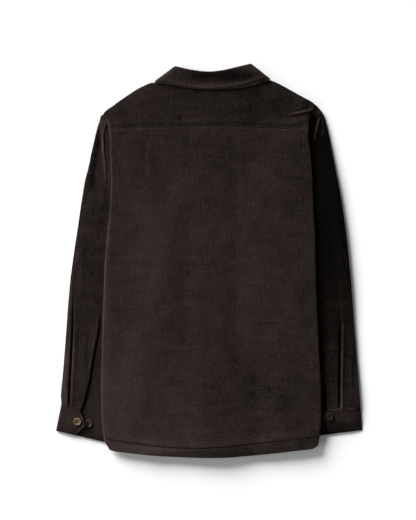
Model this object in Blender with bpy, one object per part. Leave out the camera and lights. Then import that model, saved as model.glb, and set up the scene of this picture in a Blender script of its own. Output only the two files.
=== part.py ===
"""Corduroy shacket, laid flat on its front with its back up.

Metres, +Z up. +Y runs from the hem to the collar, and +X is the right of the back as it lies.
Heights are above the surface it lies on. Places on the garment are tailor's measures: "down" is
the distance below the nape along the centre back, and "out" is the distance from the line x = 0
towards the left or the right side.
"""

import math

import bmesh
import bpy
import numpy as np

# Cloth and seams
CLOTH = 0.0018
COLLAR_CLOTH = 0.0026
CUFF_CLOTH = 0.0024
SEAM_GAP = 0.0003

# Where the nape lies in the part's frame, whose origin is the middle of the garment's box
NAPE_Y = 0.3598
CENTRE_FRONT = 0.004

# Body tube: two panels that lie on each other and turn round at the sides
BODY_TURN = 0.00325
SIDE_LAP = 0.008
BACK_HEIGHT = 0.0072
BACK_OVER_PLACKET = 0.0104
FRONT_OVERLAP = 0.015
PLACKET_HALF = 0.017
PLACKET_TOP = 0.024
PLACKET_SLOPE = 0.055
FRONT_STEPS = 5
LEAN_WIDTH = 0.040
LEAN_START = 0.024

# Collar
COLLAR_LIFT = COLLAR_CLOTH + SEAM_GAP
COLLAR_ROLL = 0.0045
CORNER_ROLL = 0.0030
CORNER_REACH = 0.0020
ROLL_ANGLES = (90.0, 60.0, 30.0, 0.0)
LEAF_SHARES = (0.35, 0.70, 1.0)
STAND_INSET = 0.0042
STAND_LEAST_SLANT = 0.45
STAND_OVERLAP_FADE = 0.012
STAND_BUTTON_DOWN = 0.0690
COLLAR_REACH = 0.040
COLLAR_ZONE_OUT = 0.128
COLLAR_ZONE_DOWN = 0.135
FRONT_NECK_DOWN = 0.083

# Buttons
BUTTON_RADIUS = 0.0080
BUTTON_THICK = COLLAR_CLOTH
SHANK = 0.0006
BUTTON_SIDES = 14
BUTTON_CHAMFER = 0.0007
FRONT_BUTTON_FIRST = 0.120
FRONT_BUTTON_PITCH = 0.104
FRONT_BUTTONS = 6

# Sleeves and cuffs
SLEEVE_TURN = 0.0028
SLEEVE_INNER_TURN = 0.0023
SLEEVE_UNDERSIDE = (0.22, 0.45, 0.70)
SLEEVE_ARMPIT = 0.310
SLEEVE_START = {"left": 0.060, "right": 0.040}
BOW_FROM = 0.86
SLIT_DROP = 0.0022
SLIT_OVERLAP = 0.008
LAP_STEP = 0.004
LAP_TO_BODY = 0.008
UNDER_SHARE = 0.55
CUFF_TURN = 0.0034
CUFF_INNER_TURN = 0.0028
CUFF_TAB_HEIGHT = 0.0078
UNDERLAP_HEIGHT = 0.0051
UNDERLAP_BEHIND_TIP = 0.030
TAB_BEND = ((0.0, 1.0), (0.0030, 0.95), (0.0068, 0.0))
TAB_LENGTH = 0.012
CUFF_SLOPE = (0.6, 0.25)
CUFF_UNDERSIDE = (0.35, 0.65)

# Arc of a turned edge, in equal steps from the top layer to the bottom layer
TURN_STEPS = 5

SIDE_SIGN = {"left": -1.0, "right": 1.0}


def table(columns, rows):
    """Rows of measures as one array for each named column."""
    return {name: np.array(values) for name, values in zip(columns.split(), zip(*rows))}


# Side outline of the body, from the neck over the shoulder tip to the hem
BODY_EDGE = {
    "left": table("down out", [
        (-0.0136, 0.1030),
        (-0.0077, 0.1109),
        (-0.0058, 0.1240),
        (0.0058, 0.1487),
        (0.0200, 0.1702),
        (0.0325, 0.1879),
        (0.0468, 0.2058),
        (0.0545, 0.2135),
        (0.0595, 0.2178),
        (0.0635, 0.2186),
        (0.0670, 0.2158),
        (0.0720, 0.2112),
        (0.0790, 0.2086),
        (0.0893, 0.2064),
        (0.0968, 0.2048),
        (0.1318, 0.2039),
        (0.2142, 0.2019),
        (0.2719, 0.2064),
        (0.3584, 0.2147),
        (0.4450, 0.2179),
        (0.6180, 0.2225),
        (0.6757, 0.2219),
        (0.7045, 0.2194),
        (0.7313, 0.2159),
    ]),
    "right": table("down out", [
        (-0.0180, 0.1171),
        (-0.0119, 0.1248),
        (-0.0104, 0.1316),
        (-0.0041, 0.1448),
        (0.0093, 0.1700),
        (0.0253, 0.1967),
        (0.0350, 0.2108),
        (0.0395, 0.2166),
        (0.0430, 0.2184),
        (0.0465, 0.2168),
        (0.0510, 0.2126),
        (0.0570, 0.2085),
        (0.0640, 0.2063),
        (0.0789, 0.2064),
        (0.1057, 0.2048),
        (0.1325, 0.2083),
        (0.1860, 0.2136),
        (0.2431, 0.2147),
        (0.3008, 0.2192),
        (0.3873, 0.2204),
        (0.5026, 0.2250),
        (0.6180, 0.2303),
        (0.6757, 0.2313),
        (0.7161, 0.2285),
        (0.7381, 0.2237),
    ]),
}

# Outer edge of each sleeve, a fold from the shoulder tip to the cuff
SLEEVE_OUTER = {
    "left": table("down out", [
        (0.0600, 0.2195),
        (0.0630, 0.2237),
        (0.0690, 0.2257),
        (0.0789, 0.2291),
        (0.1147, 0.2379),
        (0.1566, 0.2451),
        (0.1916, 0.2559),
        (0.2719, 0.2682),
        (0.4161, 0.2884),
        (0.5026, 0.2948),
        (0.5988, 0.3024),
        (0.6487, 0.3067),
        (0.6556, 0.3047),
    ]),
    "right": table("down out", [
        (0.0400, 0.2170),
        (0.0450, 0.2235),
        (0.0558, 0.2350),
        (0.0754, 0.2412),
        (0.1057, 0.2484),
        (0.1524, 0.2571),
        (0.2604, 0.2769),
        (0.3873, 0.2913),
        (0.5026, 0.2999),
        (0.5747, 0.3055),
        (0.6623, 0.3121),
    ]),
}

# Inner edge of each sleeve, hidden under the body: armhole down to the armpit, then the fold
SLEEVE_INNER = {
    "left": table("down out", [
        (-0.0200, 0.2700),
        (0.0300, 0.2350),
        (0.0600, 0.2185),
        (0.1000, 0.1960),
        (0.2000, 0.1450),
        (0.3100, 0.0980),
        (0.4500, 0.1100),
        (0.6000, 0.1500),
        (0.6900, 0.1780),
    ]),
    "right": table("down out", [
        (-0.0300, 0.2700),
        (0.0200, 0.2320),
        (0.0400, 0.2170),
        (0.1000, 0.1900),
        (0.2000, 0.1440),
        (0.3100, 0.1030),
        (0.4500, 0.1180),
        (0.6000, 0.1600),
        (0.6900, 0.1850),
    ]),
}

# Elbow seam between top sleeve and under sleeve: it ends in the slit above the cuff
ELBOW_SEAM = {
    "left": table("down out", [
        (0.1000, 0.2000),
        (0.2000, 0.1780),
        (0.3200, 0.1930),
        (0.4000, 0.2080),
        (0.4573, 0.2200),
        (0.5026, 0.2256),
        (0.5500, 0.2353),
        (0.5830, 0.2408),
        (0.6098, 0.2466),
        (0.6427, 0.2544),
        (0.6718, 0.2649),
    ]),
    "right": table("down out", [
        (0.1000, 0.2000),
        (0.2000, 0.1780),
        (0.3200, 0.1900),
        (0.4573, 0.2120),
        (0.5500, 0.2260),
        (0.5995, 0.2324),
        (0.6180, 0.2385),
        (0.6654, 0.2385),
    ]),
}

# Main crease of each sleeve: ridge at the sleeve head, pleat above the cuff.
# The last three columns raise the cloth beside the line, on it, and on its inner side.
SLEEVE_CREASE = {
    "left": table("down out outer line inner", [
        (0.0600, 0.2140, 0.0000, 0.0006, 0.0000),
        (0.0880, 0.2160, 0.0000, 0.0014, -0.0003),
        (0.1147, 0.2202, 0.0000, 0.0016, -0.0004),
        (0.1504, 0.2138, 0.0000, 0.0014, -0.0003),
        (0.2000, 0.2120, 0.0000, 0.0008, 0.0000),
        (0.3000, 0.2420, 0.0000, 0.0000, 0.0000),
        (0.4161, 0.2797, 0.0002, -0.0002, 0.0000),
        (0.5026, 0.2812, 0.0006, -0.0005, 0.0000),
        (0.5995, 0.2861, 0.0009, -0.0008, 0.0000),
        (0.6600, 0.2885, 0.0011, -0.0008, 0.0001),
    ]),
    "right": table("down out outer line inner", [
        (0.0400, 0.2140, 0.0000, 0.0006, 0.0000),
        (0.0659, 0.2270, 0.0000, 0.0016, -0.0003),
        (0.0968, 0.2198, 0.0000, 0.0016, -0.0004),
        (0.1290, 0.2144, 0.0000, 0.0012, -0.0003),
        (0.2000, 0.2290, 0.0000, 0.0004, 0.0000),
        (0.3000, 0.2510, 0.0000, 0.0000, 0.0000),
        (0.5026, 0.2709, 0.0009, -0.0007, 0.0000),
        (0.6180, 0.2688, 0.0012, -0.0008, 0.0000),
        (0.6700, 0.2688, 0.0012, -0.0008, 0.0000),
    ]),
}
CREASE_BESIDE = 0.0042
CREASE_FROM_FOLD = 0.002
CREASE_FROM_SEAM = 3.4 * CREASE_BESIDE
CREASE_FROM_BODY = 1.8 * CREASE_BESIDE
BODY_FROM_SEAM = 0.8 * CREASE_BESIDE
CREASE_CLEAR = 0.003
CREASE_FADE = 0.006

# Rows of a sleeve, as a share of its length, and where the under sleeve drops and slides under
SLEEVE_ROWS = table("share dropped lapped", [
    (0.000, 0, 0),
    (0.005, 0, 0),
    (0.012, 0, 0),
    (0.022, 0, 0),
    (0.035, 0, 0),
    (0.070, 0, 0),
    (0.110, 0, 0),
    (0.160, 0, 0),
    (0.220, 0, 0),
    (0.300, 0, 0),
    (0.390, 0, 0),
    (0.480, 0, 0),
    (0.570, 0, 0),
    (0.660, 0, 0),
    (0.740, 0, 0),
    (0.800, 0, 0),
    (0.830, 1, 0),
    (0.858, 1, 1),
    (0.895, 1, 1),
    (0.935, 1, 1),
    (0.970, 1, 1),
    (1.000, 1, 1),
])

# Where the sleeve is pressed by the body's edge, and how wide its swell beside it is
BODY_CLEAR = 0.0015
SWELL_WIDTH = 0.016

# Height of the sleeve where it shows, and how far the body is lifted over it
SLEEVE_HEIGHT = table("down full pressed_left pressed_right", [
    (0.0400, 0.0046, 0.0046, 0.0046),
    (0.0700, 0.0048, 0.0046, 0.0046),
    (0.1100, 0.0058, 0.0046, 0.0046),
    (0.1800, 0.0068, 0.0046, 0.0046),
    (0.2600, 0.0070, 0.0046, 0.0046),
    (0.5100, 0.0070, 0.0046, 0.0046),
    (0.5700, 0.0070, 0.0046, 0.0063),
    (0.6800, 0.0070, 0.0046, 0.0063),
])
BODY_LIFT = table("down left right", [
    (0.0000, 0.0030, 0.0030),
    (0.0380, 0.0049, 0.0049),
    (0.4700, 0.0049, 0.0049),
    (0.5300, 0.0049, 0.0066),
    (0.6100, 0.0049, 0.0066),
    (0.6450, 0.0059, 0.0083),
    (0.7400, 0.0059, 0.0083),
])

# Cross seams of the body, as the distance below the nape at each place across
BACK_NECK = table("x down", [
    (-0.1030, -0.0136),
    (-0.0600, -0.0040),
    (0.0060, 0.0000),
    (0.0700, -0.0060),
    (0.1171, -0.0180),
])
YOKE_SEAM = table("x down", [
    (-0.2050, 0.0893),
    (-0.1673, 0.0880),
    (-0.1034, 0.0861),
    (-0.0416, 0.0853),
    (0.0799, 0.0853),
    (0.1520, 0.0886),
    (0.2064, 0.0893),
])
HEM = table("x down", [
    (-0.2159, 0.7313),
    (-0.2072, 0.7457),
    (-0.1941, 0.7525),
    (-0.1426, 0.7575),
    (-0.1269, 0.7606),
    (-0.0231, 0.7651),
    (0.0119, 0.7657),
    (0.0923, 0.7606),
    (0.1500, 0.7546),
    (0.1912, 0.7496),
    (0.2151, 0.7472),
    (0.2237, 0.7381),
])

# Sections of the yoke: where each one reaches the left and right outline, its share of the way
# from neck to yoke seam, and the share of its place along the front yoke seam
YOKE_ROWS = table("left right share front", [
    (-0.0136, -0.0180, 0.00, 0.00),
    (-0.0077, -0.0119, 0.07, 0.06),
    (-0.0058, -0.0104, 0.17, 0.12),
    (0.0058, -0.0041, 0.28, 0.22),
    (0.0200, 0.0093, 0.38, 0.36),
    (0.0325, 0.0253, 0.48, 0.50),
    (0.0468, 0.0350, 0.58, 0.64),
    (0.0545, 0.0395, 0.66, 0.73),
    (0.0595, 0.0430, 0.72, 0.79),
    (0.0635, 0.0465, 0.77, 0.83),
    (0.0670, 0.0510, 0.82, 0.87),
    (0.0720, 0.0570, 0.87, 0.91),
    (0.0790, 0.0700, 0.93, 0.95),
    (0.0893, 0.0893, 1.00, 1.00),
])

# Sections of the back and the fronts, and the relief of the turned hem's stitched line
BODY_ROWS = table("left right share relief", [
    (0.0896, 0.0896, 0.000, 0.0000),
    (0.1089, 0.1091, 0.030, 0.0000),
    (0.1281, 0.1285, 0.060, 0.0000),
    (0.1602, 0.1609, 0.110, 0.0000),
    (0.2051, 0.2063, 0.180, 0.0000),
    (0.2500, 0.2517, 0.250, 0.0000),
    (0.3014, 0.3036, 0.330, 0.0000),
    (0.3591, 0.3620, 0.420, 0.0000),
    (0.4169, 0.4203, 0.510, 0.0000),
    (0.4746, 0.4787, 0.600, 0.0000),
    (0.5324, 0.5371, 0.690, 0.0000),
    (0.5869, 0.5922, 0.775, 0.0000),
    (0.6286, 0.6343, 0.840, 0.0000),
    (0.6639, 0.6700, 0.895, 0.0000),
    (0.6928, 0.6992, 0.940, 0.0000),
    (0.7160, 0.7160, 0.962, 0.0003),
    (0.7245, 0.7247, 0.974, -0.0005),
    (0.7282, 0.7315, 0.985, 0.0001),
    (0.7313, 0.7381, 1.000, 0.0000),
])
YOKE_REACH = 0.050
BACK_REACH = 0.030
HEM_CORNER_TURN = 0.35
ACROSS = (
    0.021, 0.051, 0.105, 0.186, 0.290, 0.390, 0.453, 0.557, 0.620, 0.715, 0.814, 0.895, 0.949, 0.979,
)

# Front yoke seam: a straight line from the neck to the armhole
FRONT_YOKE_NECK = {"left": (0.0880, 0.0120), "right": (0.1010, 0.0080)}

# Collar leaf on the back: roll line at the top, free edge below
COLLAR_ROLL_LINE = table("x down", [
    (-0.0711, -0.0414),
    (-0.0437, -0.0350),
    (-0.0138, -0.0303),
    (-0.0004, -0.0297),
    (0.0264, -0.0323),
    (0.0593, -0.0400),
    (0.0867, -0.0464),
])
COLLAR_EDGE_LINE = table("x down", [
    (-0.1121, -0.0107),
    (-0.0849, -0.0031),
    (-0.0457, 0.0049),
    (-0.0066, 0.0076),
    (0.0099, 0.0076),
    (0.0628, 0.0049),
    (0.0913, -0.0014),
    (0.1199, -0.0122),
    (0.1261, -0.0148),
])

# Collar leaf on the front, hidden: roll line and free edge from the neck fold to the point
COLLAR_FRONT = table("along roll_out roll_down edge_out edge_down", [
    (0.00, 0.0674, -0.0365, 0.1084, -0.0058),
    (0.25, 0.0620, -0.0100, 0.1070, 0.0200),
    (0.50, 0.0500, 0.0180, 0.0990, 0.0500),
    (0.75, 0.0290, 0.0420, 0.0790, 0.0820),
    (1.00, 0.0060, 0.0540, 0.0500, 0.1120),
])
COLLAR_FRONT_STEPS = 6
LEAF_ACROSS = (0.04, 0.11, 0.21, 0.34, 0.46, 0.56, 0.68, 0.80, 0.89, 0.96)

# Corners of each cuff with the bow of its upper seam, and the outline of its pointed tab as a
# share of the way across
CUFF_CORNERS = {
    "left": table("out_outer down_outer out_inner down_inner bow", [
        (0.3050, 0.6560, 0.1900, 0.6750, 0.0075),
        (0.3162, 0.7103, 0.2020, 0.7370, 0.0000),
    ]),
    "right": table("out_outer down_outer out_inner down_inner bow", [
        (0.3122, 0.6627, 0.1970, 0.6695, 0.0000),
        (0.3162, 0.7093, 0.1990, 0.7240, 0.0000),
    ]),
}
BOW_AT = 0.35
CUFF_TAB = {
    "left": table("along across rise", [
        (0.00, 0.352, 0.0000),
        (0.17, 0.400, 0.0004),
        (0.33, 0.452, 0.0024),
        (0.50, 0.492, 0.0032),
        (0.70, 0.455, 0.0022),
        (1.00, 0.375, 0.0000),
    ]),
    "right": table("along across rise", [
        (0.00, 0.632, 0.0000),
        (0.18, 0.662, 0.0008),
        (0.36, 0.706, 0.0032),
        (0.56, 0.662, 0.0015),
        (1.00, 0.627, 0.0000),
    ]),
}

# Cuff buttons: one through the tab, one beside it on the lap under the tab
CUFF_BUTTONS = {
    "left": table("out down", [(0.2711, 0.6913), (0.2489, 0.6956)]),
    "right": table("out down", [(0.2475, 0.6810), (0.2248, 0.6840)]),
}

# Crease across the right shoulder: half its width and its height, and the line it follows
SHOULDER_CREASE = table("x down", [
    (0.1500, 0.0640),
    (0.1842, 0.0545),
    (0.1967, 0.0513),
    (0.2180, 0.0455),
])
SHOULDER_CREASE_HALF = 0.008
SHOULDER_CREASE_HEIGHT = 0.0014

COLOURS = {
    "corduroy": (0.023, 0.017, 0.015),
    "horn": (0.120, 0.090, 0.040),
}
ROUGHNESS = {"corduroy": 0.92, "horn": 0.38}


def soft(rows, column, at, key="down"):
    """Value of a table's column at a place, on a smooth curve that never overshoots its rows."""
    xs = rows[key]
    ys = rows[column]
    at = float(np.clip(at, xs[0], xs[-1]))
    steps = np.diff(xs)
    slopes = np.diff(ys) / steps
    tangents = np.empty(len(xs))
    tangents[0] = slopes[0]
    tangents[-1] = slopes[-1]
    for i in range(1, len(xs) - 1):
        before, after = slopes[i - 1], slopes[i]
        turning = before * after <= 0.0
        tangents[i] = 0.0 if turning else 2.0 * before * after / (before + after)
    i = int(np.clip(np.searchsorted(xs, at) - 1, 0, len(steps) - 1))
    h = steps[i]
    t = (at - xs[i]) / h
    return float(
        ys[i] * (1 + 2 * t) * (1 - t) ** 2
        + ys[i + 1] * t * t * (3 - 2 * t)
        + h * tangents[i] * t * (1 - t) ** 2
        - h * tangents[i + 1] * t * t * (1 - t)
    )


def mix(a, b, share):
    """Straight mix of two numbers or points."""
    return a + (b - a) * share


def fade(distance, width):
    """1 up to a border, then smoothly down to 0 at the given width past it."""
    t = min(max(distance / width, 0.0), 1.0)
    return 1.0 - t * t * (3.0 - 2.0 * t)


def side_share(side, x, down):
    """How fully the cloth at a place is carried by the sleeve under it, from 0 to 1."""
    out = SIDE_SIGN[side] * x
    inner = soft(SLEEVE_INNER[side], "out", down)
    return fade(inner - LEAN_START - out, LEAN_WIDTH)


def collar_share(x, down):
    """How fully the cloth at a place is carried by the collar under it, from 0 to 1."""
    out = abs(x - CENTRE_FRONT)
    return fade(out - COLLAR_ZONE_OUT, LEAN_WIDTH) * fade(down - COLLAR_ZONE_DOWN, LEAN_WIDTH)


def front_height(x, down):
    """Height of the fronts' underside: over sleeves, collar and buttons, else on the floor."""
    left = soft(BODY_LIFT, "left", down) * side_share("left", x, down)
    right = soft(BODY_LIFT, "right", down) * side_share("right", x, down)
    collar = COLLAR_LIFT * collar_share(x, down)
    placket = COLLAR_LIFT * fade(abs(x - CENTRE_FRONT) - PLACKET_HALF, PLACKET_SLOPE)
    return max(left, right, collar, placket)


def back_height(x, down):
    """Height of the back's upper face."""
    over_placket = fade(abs(x - CENTRE_FRONT) - PLACKET_HALF, PLACKET_SLOPE)
    over_placket *= 1.0 - fade(down - PLACKET_TOP, PLACKET_SLOPE / 2)
    neck = mix(BACK_HEIGHT, COLLAR_LIFT + 2 * BODY_TURN, collar_share(x, down))
    middle = mix(neck, BACK_OVER_PLACKET, over_placket)
    for side in SIDE_SIGN:
        at_side = soft(BODY_LIFT, side, down) + 2 * BODY_TURN
        middle = mix(middle, max(at_side, middle), side_share(side, x, down))
    return middle


def turned_edge(edge, inward, bottom, radius):
    """Points round a turned edge, from the upper layer to the lower one.

    edge and inward are plan vectors (x, down), and bottom is the height of the lower face.
    """
    points = []
    for step in range(TURN_STEPS + 1):
        angle = math.pi * step / TURN_STEPS
        x, down = edge + inward * radius * (1.0 - math.sin(angle))
        points.append((x, down, bottom + radius + radius * math.cos(angle)))
    return points


def face_normals(grid):
    """Unit normals of a grid of points, from the mean directions along its rows and columns."""
    def directions(axis):
        steps = np.diff(grid, axis=axis)
        steps /= np.linalg.norm(steps, axis=2, keepdims=True)
        first = np.take(steps, [0], axis=axis)
        last = np.take(steps, [-1], axis=axis)
        return np.concatenate([first, steps], axis=axis) + np.concatenate([steps, last], axis=axis)

    normals = np.cross(directions(0), directions(1))
    return normals / np.linalg.norm(normals, axis=2, keepdims=True)


def wall(name, rows, thickness, probe, looks=1.0, relief=None):
    """One cloth piece: a grid of outer points (x, down, height), made into a closed wall.

    probe is the row and column where the outer face looks up (1) or down (-1). relief raises the
    outer face alone.
    """
    outer = np.array(rows, dtype=float)
    outer[:, :, 1] = NAPE_Y - outer[:, :, 1]
    normals = face_normals(outer)
    if normals[probe][2] * looks < 0.0:
        normals = -normals
    inner = outer - normals * thickness
    if relief is not None:
        outer = outer + normals * np.array(relief)[:, :, None]
    closed_sheet(name, outer, inner)


def closed_sheet(name, outer, inner):
    """Closed solid between two grids of points."""
    row_count, column_count = outer.shape[:2]
    mesh = bmesh.new()
    faces = [
        [[mesh.verts.new(point) for point in row] for row in grid]
        for grid in (outer, inner)
    ]
    top, bottom = faces
    for r in range(row_count - 1):
        for c in range(column_count - 1):
            mesh.faces.new((top[r][c], top[r][c + 1], top[r + 1][c + 1], top[r + 1][c]))
            mesh.faces.new((bottom[r][c], bottom[r + 1][c], bottom[r + 1][c + 1], bottom[r][c + 1]))
    for r in (0, row_count - 1):
        for c in range(column_count - 1):
            mesh.faces.new((top[r][c], bottom[r][c], bottom[r][c + 1], top[r][c + 1]))
    for c in (0, column_count - 1):
        for r in range(row_count - 1):
            mesh.faces.new((top[r][c], top[r + 1][c], bottom[r + 1][c], bottom[r][c]))
    add_object(name, mesh, "corduroy")


def add_object(name, mesh, finish):
    """Put a finished bmesh into the scene as one named object with its material."""
    bmesh.ops.recalc_face_normals(mesh, faces=mesh.faces)
    bmesh.ops.triangulate(mesh, faces=mesh.faces)
    data = bpy.data.meshes.new(name)
    mesh.to_mesh(data)
    mesh.free()
    data.materials.append(material(name, finish))
    data.shade_smooth()
    made = bpy.data.objects.new(name, data)
    bpy.context.scene.collection.objects.link(made)


def material(name, finish):
    """Principled material of one piece."""
    made = bpy.data.materials.new(name + "_" + finish)
    made.use_nodes = True
    shader = made.node_tree.nodes["Principled BSDF"]
    shader.inputs["Base Color"].default_value = (*COLOURS[finish], 1.0)
    shader.inputs["Roughness"].default_value = ROUGHNESS[finish]
    shader.inputs["Metallic"].default_value = 0.0
    return made


def edge_of_body(side, down):
    """Plan place of the body's outline at a side."""
    return np.array((SIDE_SIGN[side] * soft(BODY_EDGE[side], "out", down), down))


def front_yoke_place(side, share):
    """Plan place on the front yoke seam, from the neck (0) to the armhole (1)."""
    neck = np.array(FRONT_YOKE_NECK[side])
    armhole_down = YOKE_ROWS["left"][-1]
    armhole = np.array((soft(BODY_EDGE[side], "out", armhole_down) - SIDE_LAP, armhole_down))
    out, down = mix(neck, armhole, share)
    return np.array((SIDE_SIGN[side] * out, down))


def outline_frames(side, downs):
    """Places on the body's outline and the directions straight in from it."""
    places = np.array([edge_of_body(side, down) for down in downs])
    runs = np.gradient(places, axis=0)
    inwards = np.stack([-runs[:, 1], runs[:, 0]], axis=1)
    inwards /= np.linalg.norm(inwards, axis=1, keepdims=True)
    inwards[inwards[:, 0] * SIDE_SIGN[side] > 0.0] *= -1.0
    return list(zip(places, inwards))


def joined(down_across, starts, x, reach):
    """A cross line of the garment, bent near its ends so that it begins and ends at two places."""
    down = down_across(x)
    for start_x, start_down in starts:
        near = 1.0 - min(abs(x - start_x) / reach, 1.0)
        down += (start_down - down_across(start_x)) * near * near
    return down


def tube_section(frames, laps, down_across, reach):
    """Outer points of one section of the back or yoke, from its left lap to its right lap."""
    turned = {}
    for side in SIDE_SIGN:
        place, inward = frames[side]
        bottom = front_height(*(place + inward * BODY_TURN))
        turned[side] = turned_edge(place, inward, bottom, BODY_TURN)
    lap_points = {side: (*laps[side], front_height(*laps[side])) for side in SIDE_SIGN}
    starts = [turned[side][0][:2] for side in SIDE_SIGN]
    middle = []
    for share in ACROSS:
        x = mix(starts[0][0], starts[1][0], share)
        down = joined(down_across, starts, x, reach)
        middle.append((x, down, back_height(x, down)))
    left = [lap_points["left"]] + turned["left"][::-1]
    right = turned["right"] + [lap_points["right"]]
    return left + middle + right


def yoke_sections():
    """Sections of the yoke, which turns over the shoulders to the front yoke seam."""
    sections = []
    frames = {side: outline_frames(side, YOKE_ROWS[side]) for side in SIDE_SIGN}
    for index, (share, front) in enumerate(zip(YOKE_ROWS["share"], YOKE_ROWS["front"])):
        laps = {side: front_yoke_place(side, front) for side in SIDE_SIGN}
        ends = {side: frames[side][index] for side in SIDE_SIGN}

        def down_across(x, share=share):
            return mix(soft(BACK_NECK, "down", x, "x"), soft(YOKE_SEAM, "down", x, "x"), share)

        sections.append(tube_section(ends, laps, down_across, YOKE_REACH))
    return sections


def body_down(x, share):
    """Distance below the nape at a share of the way from yoke seam to hem."""
    seam = soft(YOKE_SEAM, "down", x, "x") + SEAM_GAP
    return mix(seam, soft(HEM, "down", x, "x"), share)


def back_frames(side):
    """Places on the back's side outline, whose directions turn into the hem at its corner."""
    frames = outline_frames(side, BODY_ROWS[side])
    first, second = (0, 1) if side == "left" else (-1, -2)
    ends = [np.array((HEM["x"][pick], HEM["down"][pick])) for pick in (first, second)]
    hem = (ends[1] - ends[0]) / np.linalg.norm(ends[1] - ends[0])
    for back_by, share in ((1, 1.0), (2, HEM_CORNER_TURN)):
        place, inward = frames[-back_by]
        turned = mix(inward, hem, share)
        frames[-back_by] = (place, turned / np.linalg.norm(turned))
    return frames


def back_sections():
    """Sections of the back, from the yoke seam to the hem."""
    sections = []
    frames = {side: back_frames(side) for side in SIDE_SIGN}
    last = len(BODY_ROWS["share"]) - 1
    for index, share in enumerate(BODY_ROWS["share"]):
        ends = {side: frames[side][index] for side in SIDE_SIGN}
        laps = {}
        for side, (place, inward) in ends.items():
            level_in = np.array((-SIDE_SIGN[side], 0.0))
            laps[side] = place + SIDE_LAP * (inward if index == last else level_in)

        def down_across(x, share=share):
            return body_down(x, share)

        sections.append(tube_section(ends, laps, down_across, BACK_REACH))
    return sections


def shoulder_relief(sections):
    """Height of the crease across the right shoulder at each point of the yoke."""
    relief = []
    start, end = SHOULDER_CREASE["x"][0], SHOULDER_CREASE["x"][-1]
    for section in sections:
        row = []
        for x, down, height in section:
            inside = start < x < end and height > BACK_HEIGHT
            off = abs(down - soft(SHOULDER_CREASE, "down", x, "x"))
            run = math.sin(math.pi * min(max((x - start) / (end - start), 0.0), 1.0) ** 0.7)
            row.append(SHOULDER_CREASE_HEIGHT * run * fade(off, SHOULDER_CREASE_HALF) if inside else 0.0)
        relief.append(row)
    return relief


def front_neck_down(side, out):
    """Front neckline: a quarter ellipse from the front yoke seam down to the centre front."""
    neck_out, neck_down = FRONT_YOKE_NECK[side]
    neck_down += 2 * SEAM_GAP
    centre_out = SIDE_SIGN[side] * CENTRE_FRONT
    t = min(max((out - centre_out) / (neck_out - centre_out), 0.0), 1.0)
    return neck_down + (FRONT_NECK_DOWN - neck_down) * math.sqrt(1.0 - t * t)


def front_columns(side, outer):
    """Places across a front, from the side seam to the edge that overlaps at the centre."""
    neck_out = FRONT_YOKE_NECK[side][0]
    centre = SIDE_SIGN[side] * CENTRE_FRONT
    edge = centre + PLACKET_HALF
    past_neck = [mix(outer, neck_out, step / FRONT_STEPS) for step in range(FRONT_STEPS)]
    at_neck = [neck_out, mix(neck_out, edge + PLACKET_SLOPE, 0.5), edge + PLACKET_SLOPE]
    return past_neck + at_neck + [edge + PLACKET_SLOPE / 2, edge, centre, centre - FRONT_OVERLAP]


def front_top_down(side, out):
    """Top outline of a front: the front yoke seam, then the neckline."""
    neck_out, neck_down = FRONT_YOKE_NECK[side]
    if out < neck_out:
        return front_neck_down(side, out)
    armhole = front_yoke_place(side, 1.0)
    share = (out - neck_out) / (abs(armhole[0]) - neck_out)
    return mix(neck_down, armhole[1], share) + 2 * SEAM_GAP


def front_sections(side):
    """Sections of a front. The right one lies inside the left one at the centre."""
    sign = SIDE_SIGN[side]
    sections = []
    for level, share in zip(BODY_ROWS[side], BODY_ROWS["share"]):
        outer = soft(BODY_EDGE[side], "out", level) - SIDE_LAP - SEAM_GAP
        if share == 0.0:
            level = front_top_down(side, outer)
        end_down = mix(front_top_down(side, outer), soft(HEM, "down", sign * outer, "x"), share)
        section = []
        for out in front_columns(side, outer):
            x = sign * out
            down = mix(front_top_down(side, out), soft(HEM, "down", x, "x"), share)
            near = 1.0 - min((outer - out) / BACK_REACH, 1.0)
            down += (level - end_down) * near * near
            height = front_height(x, down)
            if side == "right":
                height += COLLAR_LIFT * fade(out - sign * CENTRE_FRONT - PLACKET_HALF, PLACKET_SLOPE)
            section.append((x, down, height))
        sections.append(section)
    return sections


def collar_fold(side):
    """Fold line of the collar at one side of the neck: roll end, free end, and plan inward."""
    pick = 0 if side == "left" else -1
    roll = np.array((COLLAR_ROLL_LINE["x"][pick], COLLAR_ROLL_LINE["down"][pick]))
    free = np.array((COLLAR_EDGE_LINE["x"][pick], COLLAR_EDGE_LINE["down"][pick]))
    run = (free - roll) / np.linalg.norm(free - roll)
    inward = np.array((-run[1], run[0])) * -SIDE_SIGN[side]
    if inward[1] < 0.0:
        inward = -inward
    return roll, free, inward


def reach_to_roll_line(side):
    """Run along the side fold that brings a point 1 inward of it back to the roll line."""
    roll, free, inward = collar_fold(side)
    following = 1 if side == "left" else -2
    run = np.array((COLLAR_ROLL_LINE["x"][following], COLLAR_ROLL_LINE["down"][following])) - roll
    up_fold = (roll - free) / np.linalg.norm(roll - free)
    return -float(np.cross(inward, run) / np.cross(up_fold, run)) * up_fold


def collar_middle(line, starts, x):
    """Roll line or free edge of the leaf across the back, between the ends of its two folds."""
    return joined(lambda at: soft(line, "down", at, "x"), starts, x, COLLAR_REACH)


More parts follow.
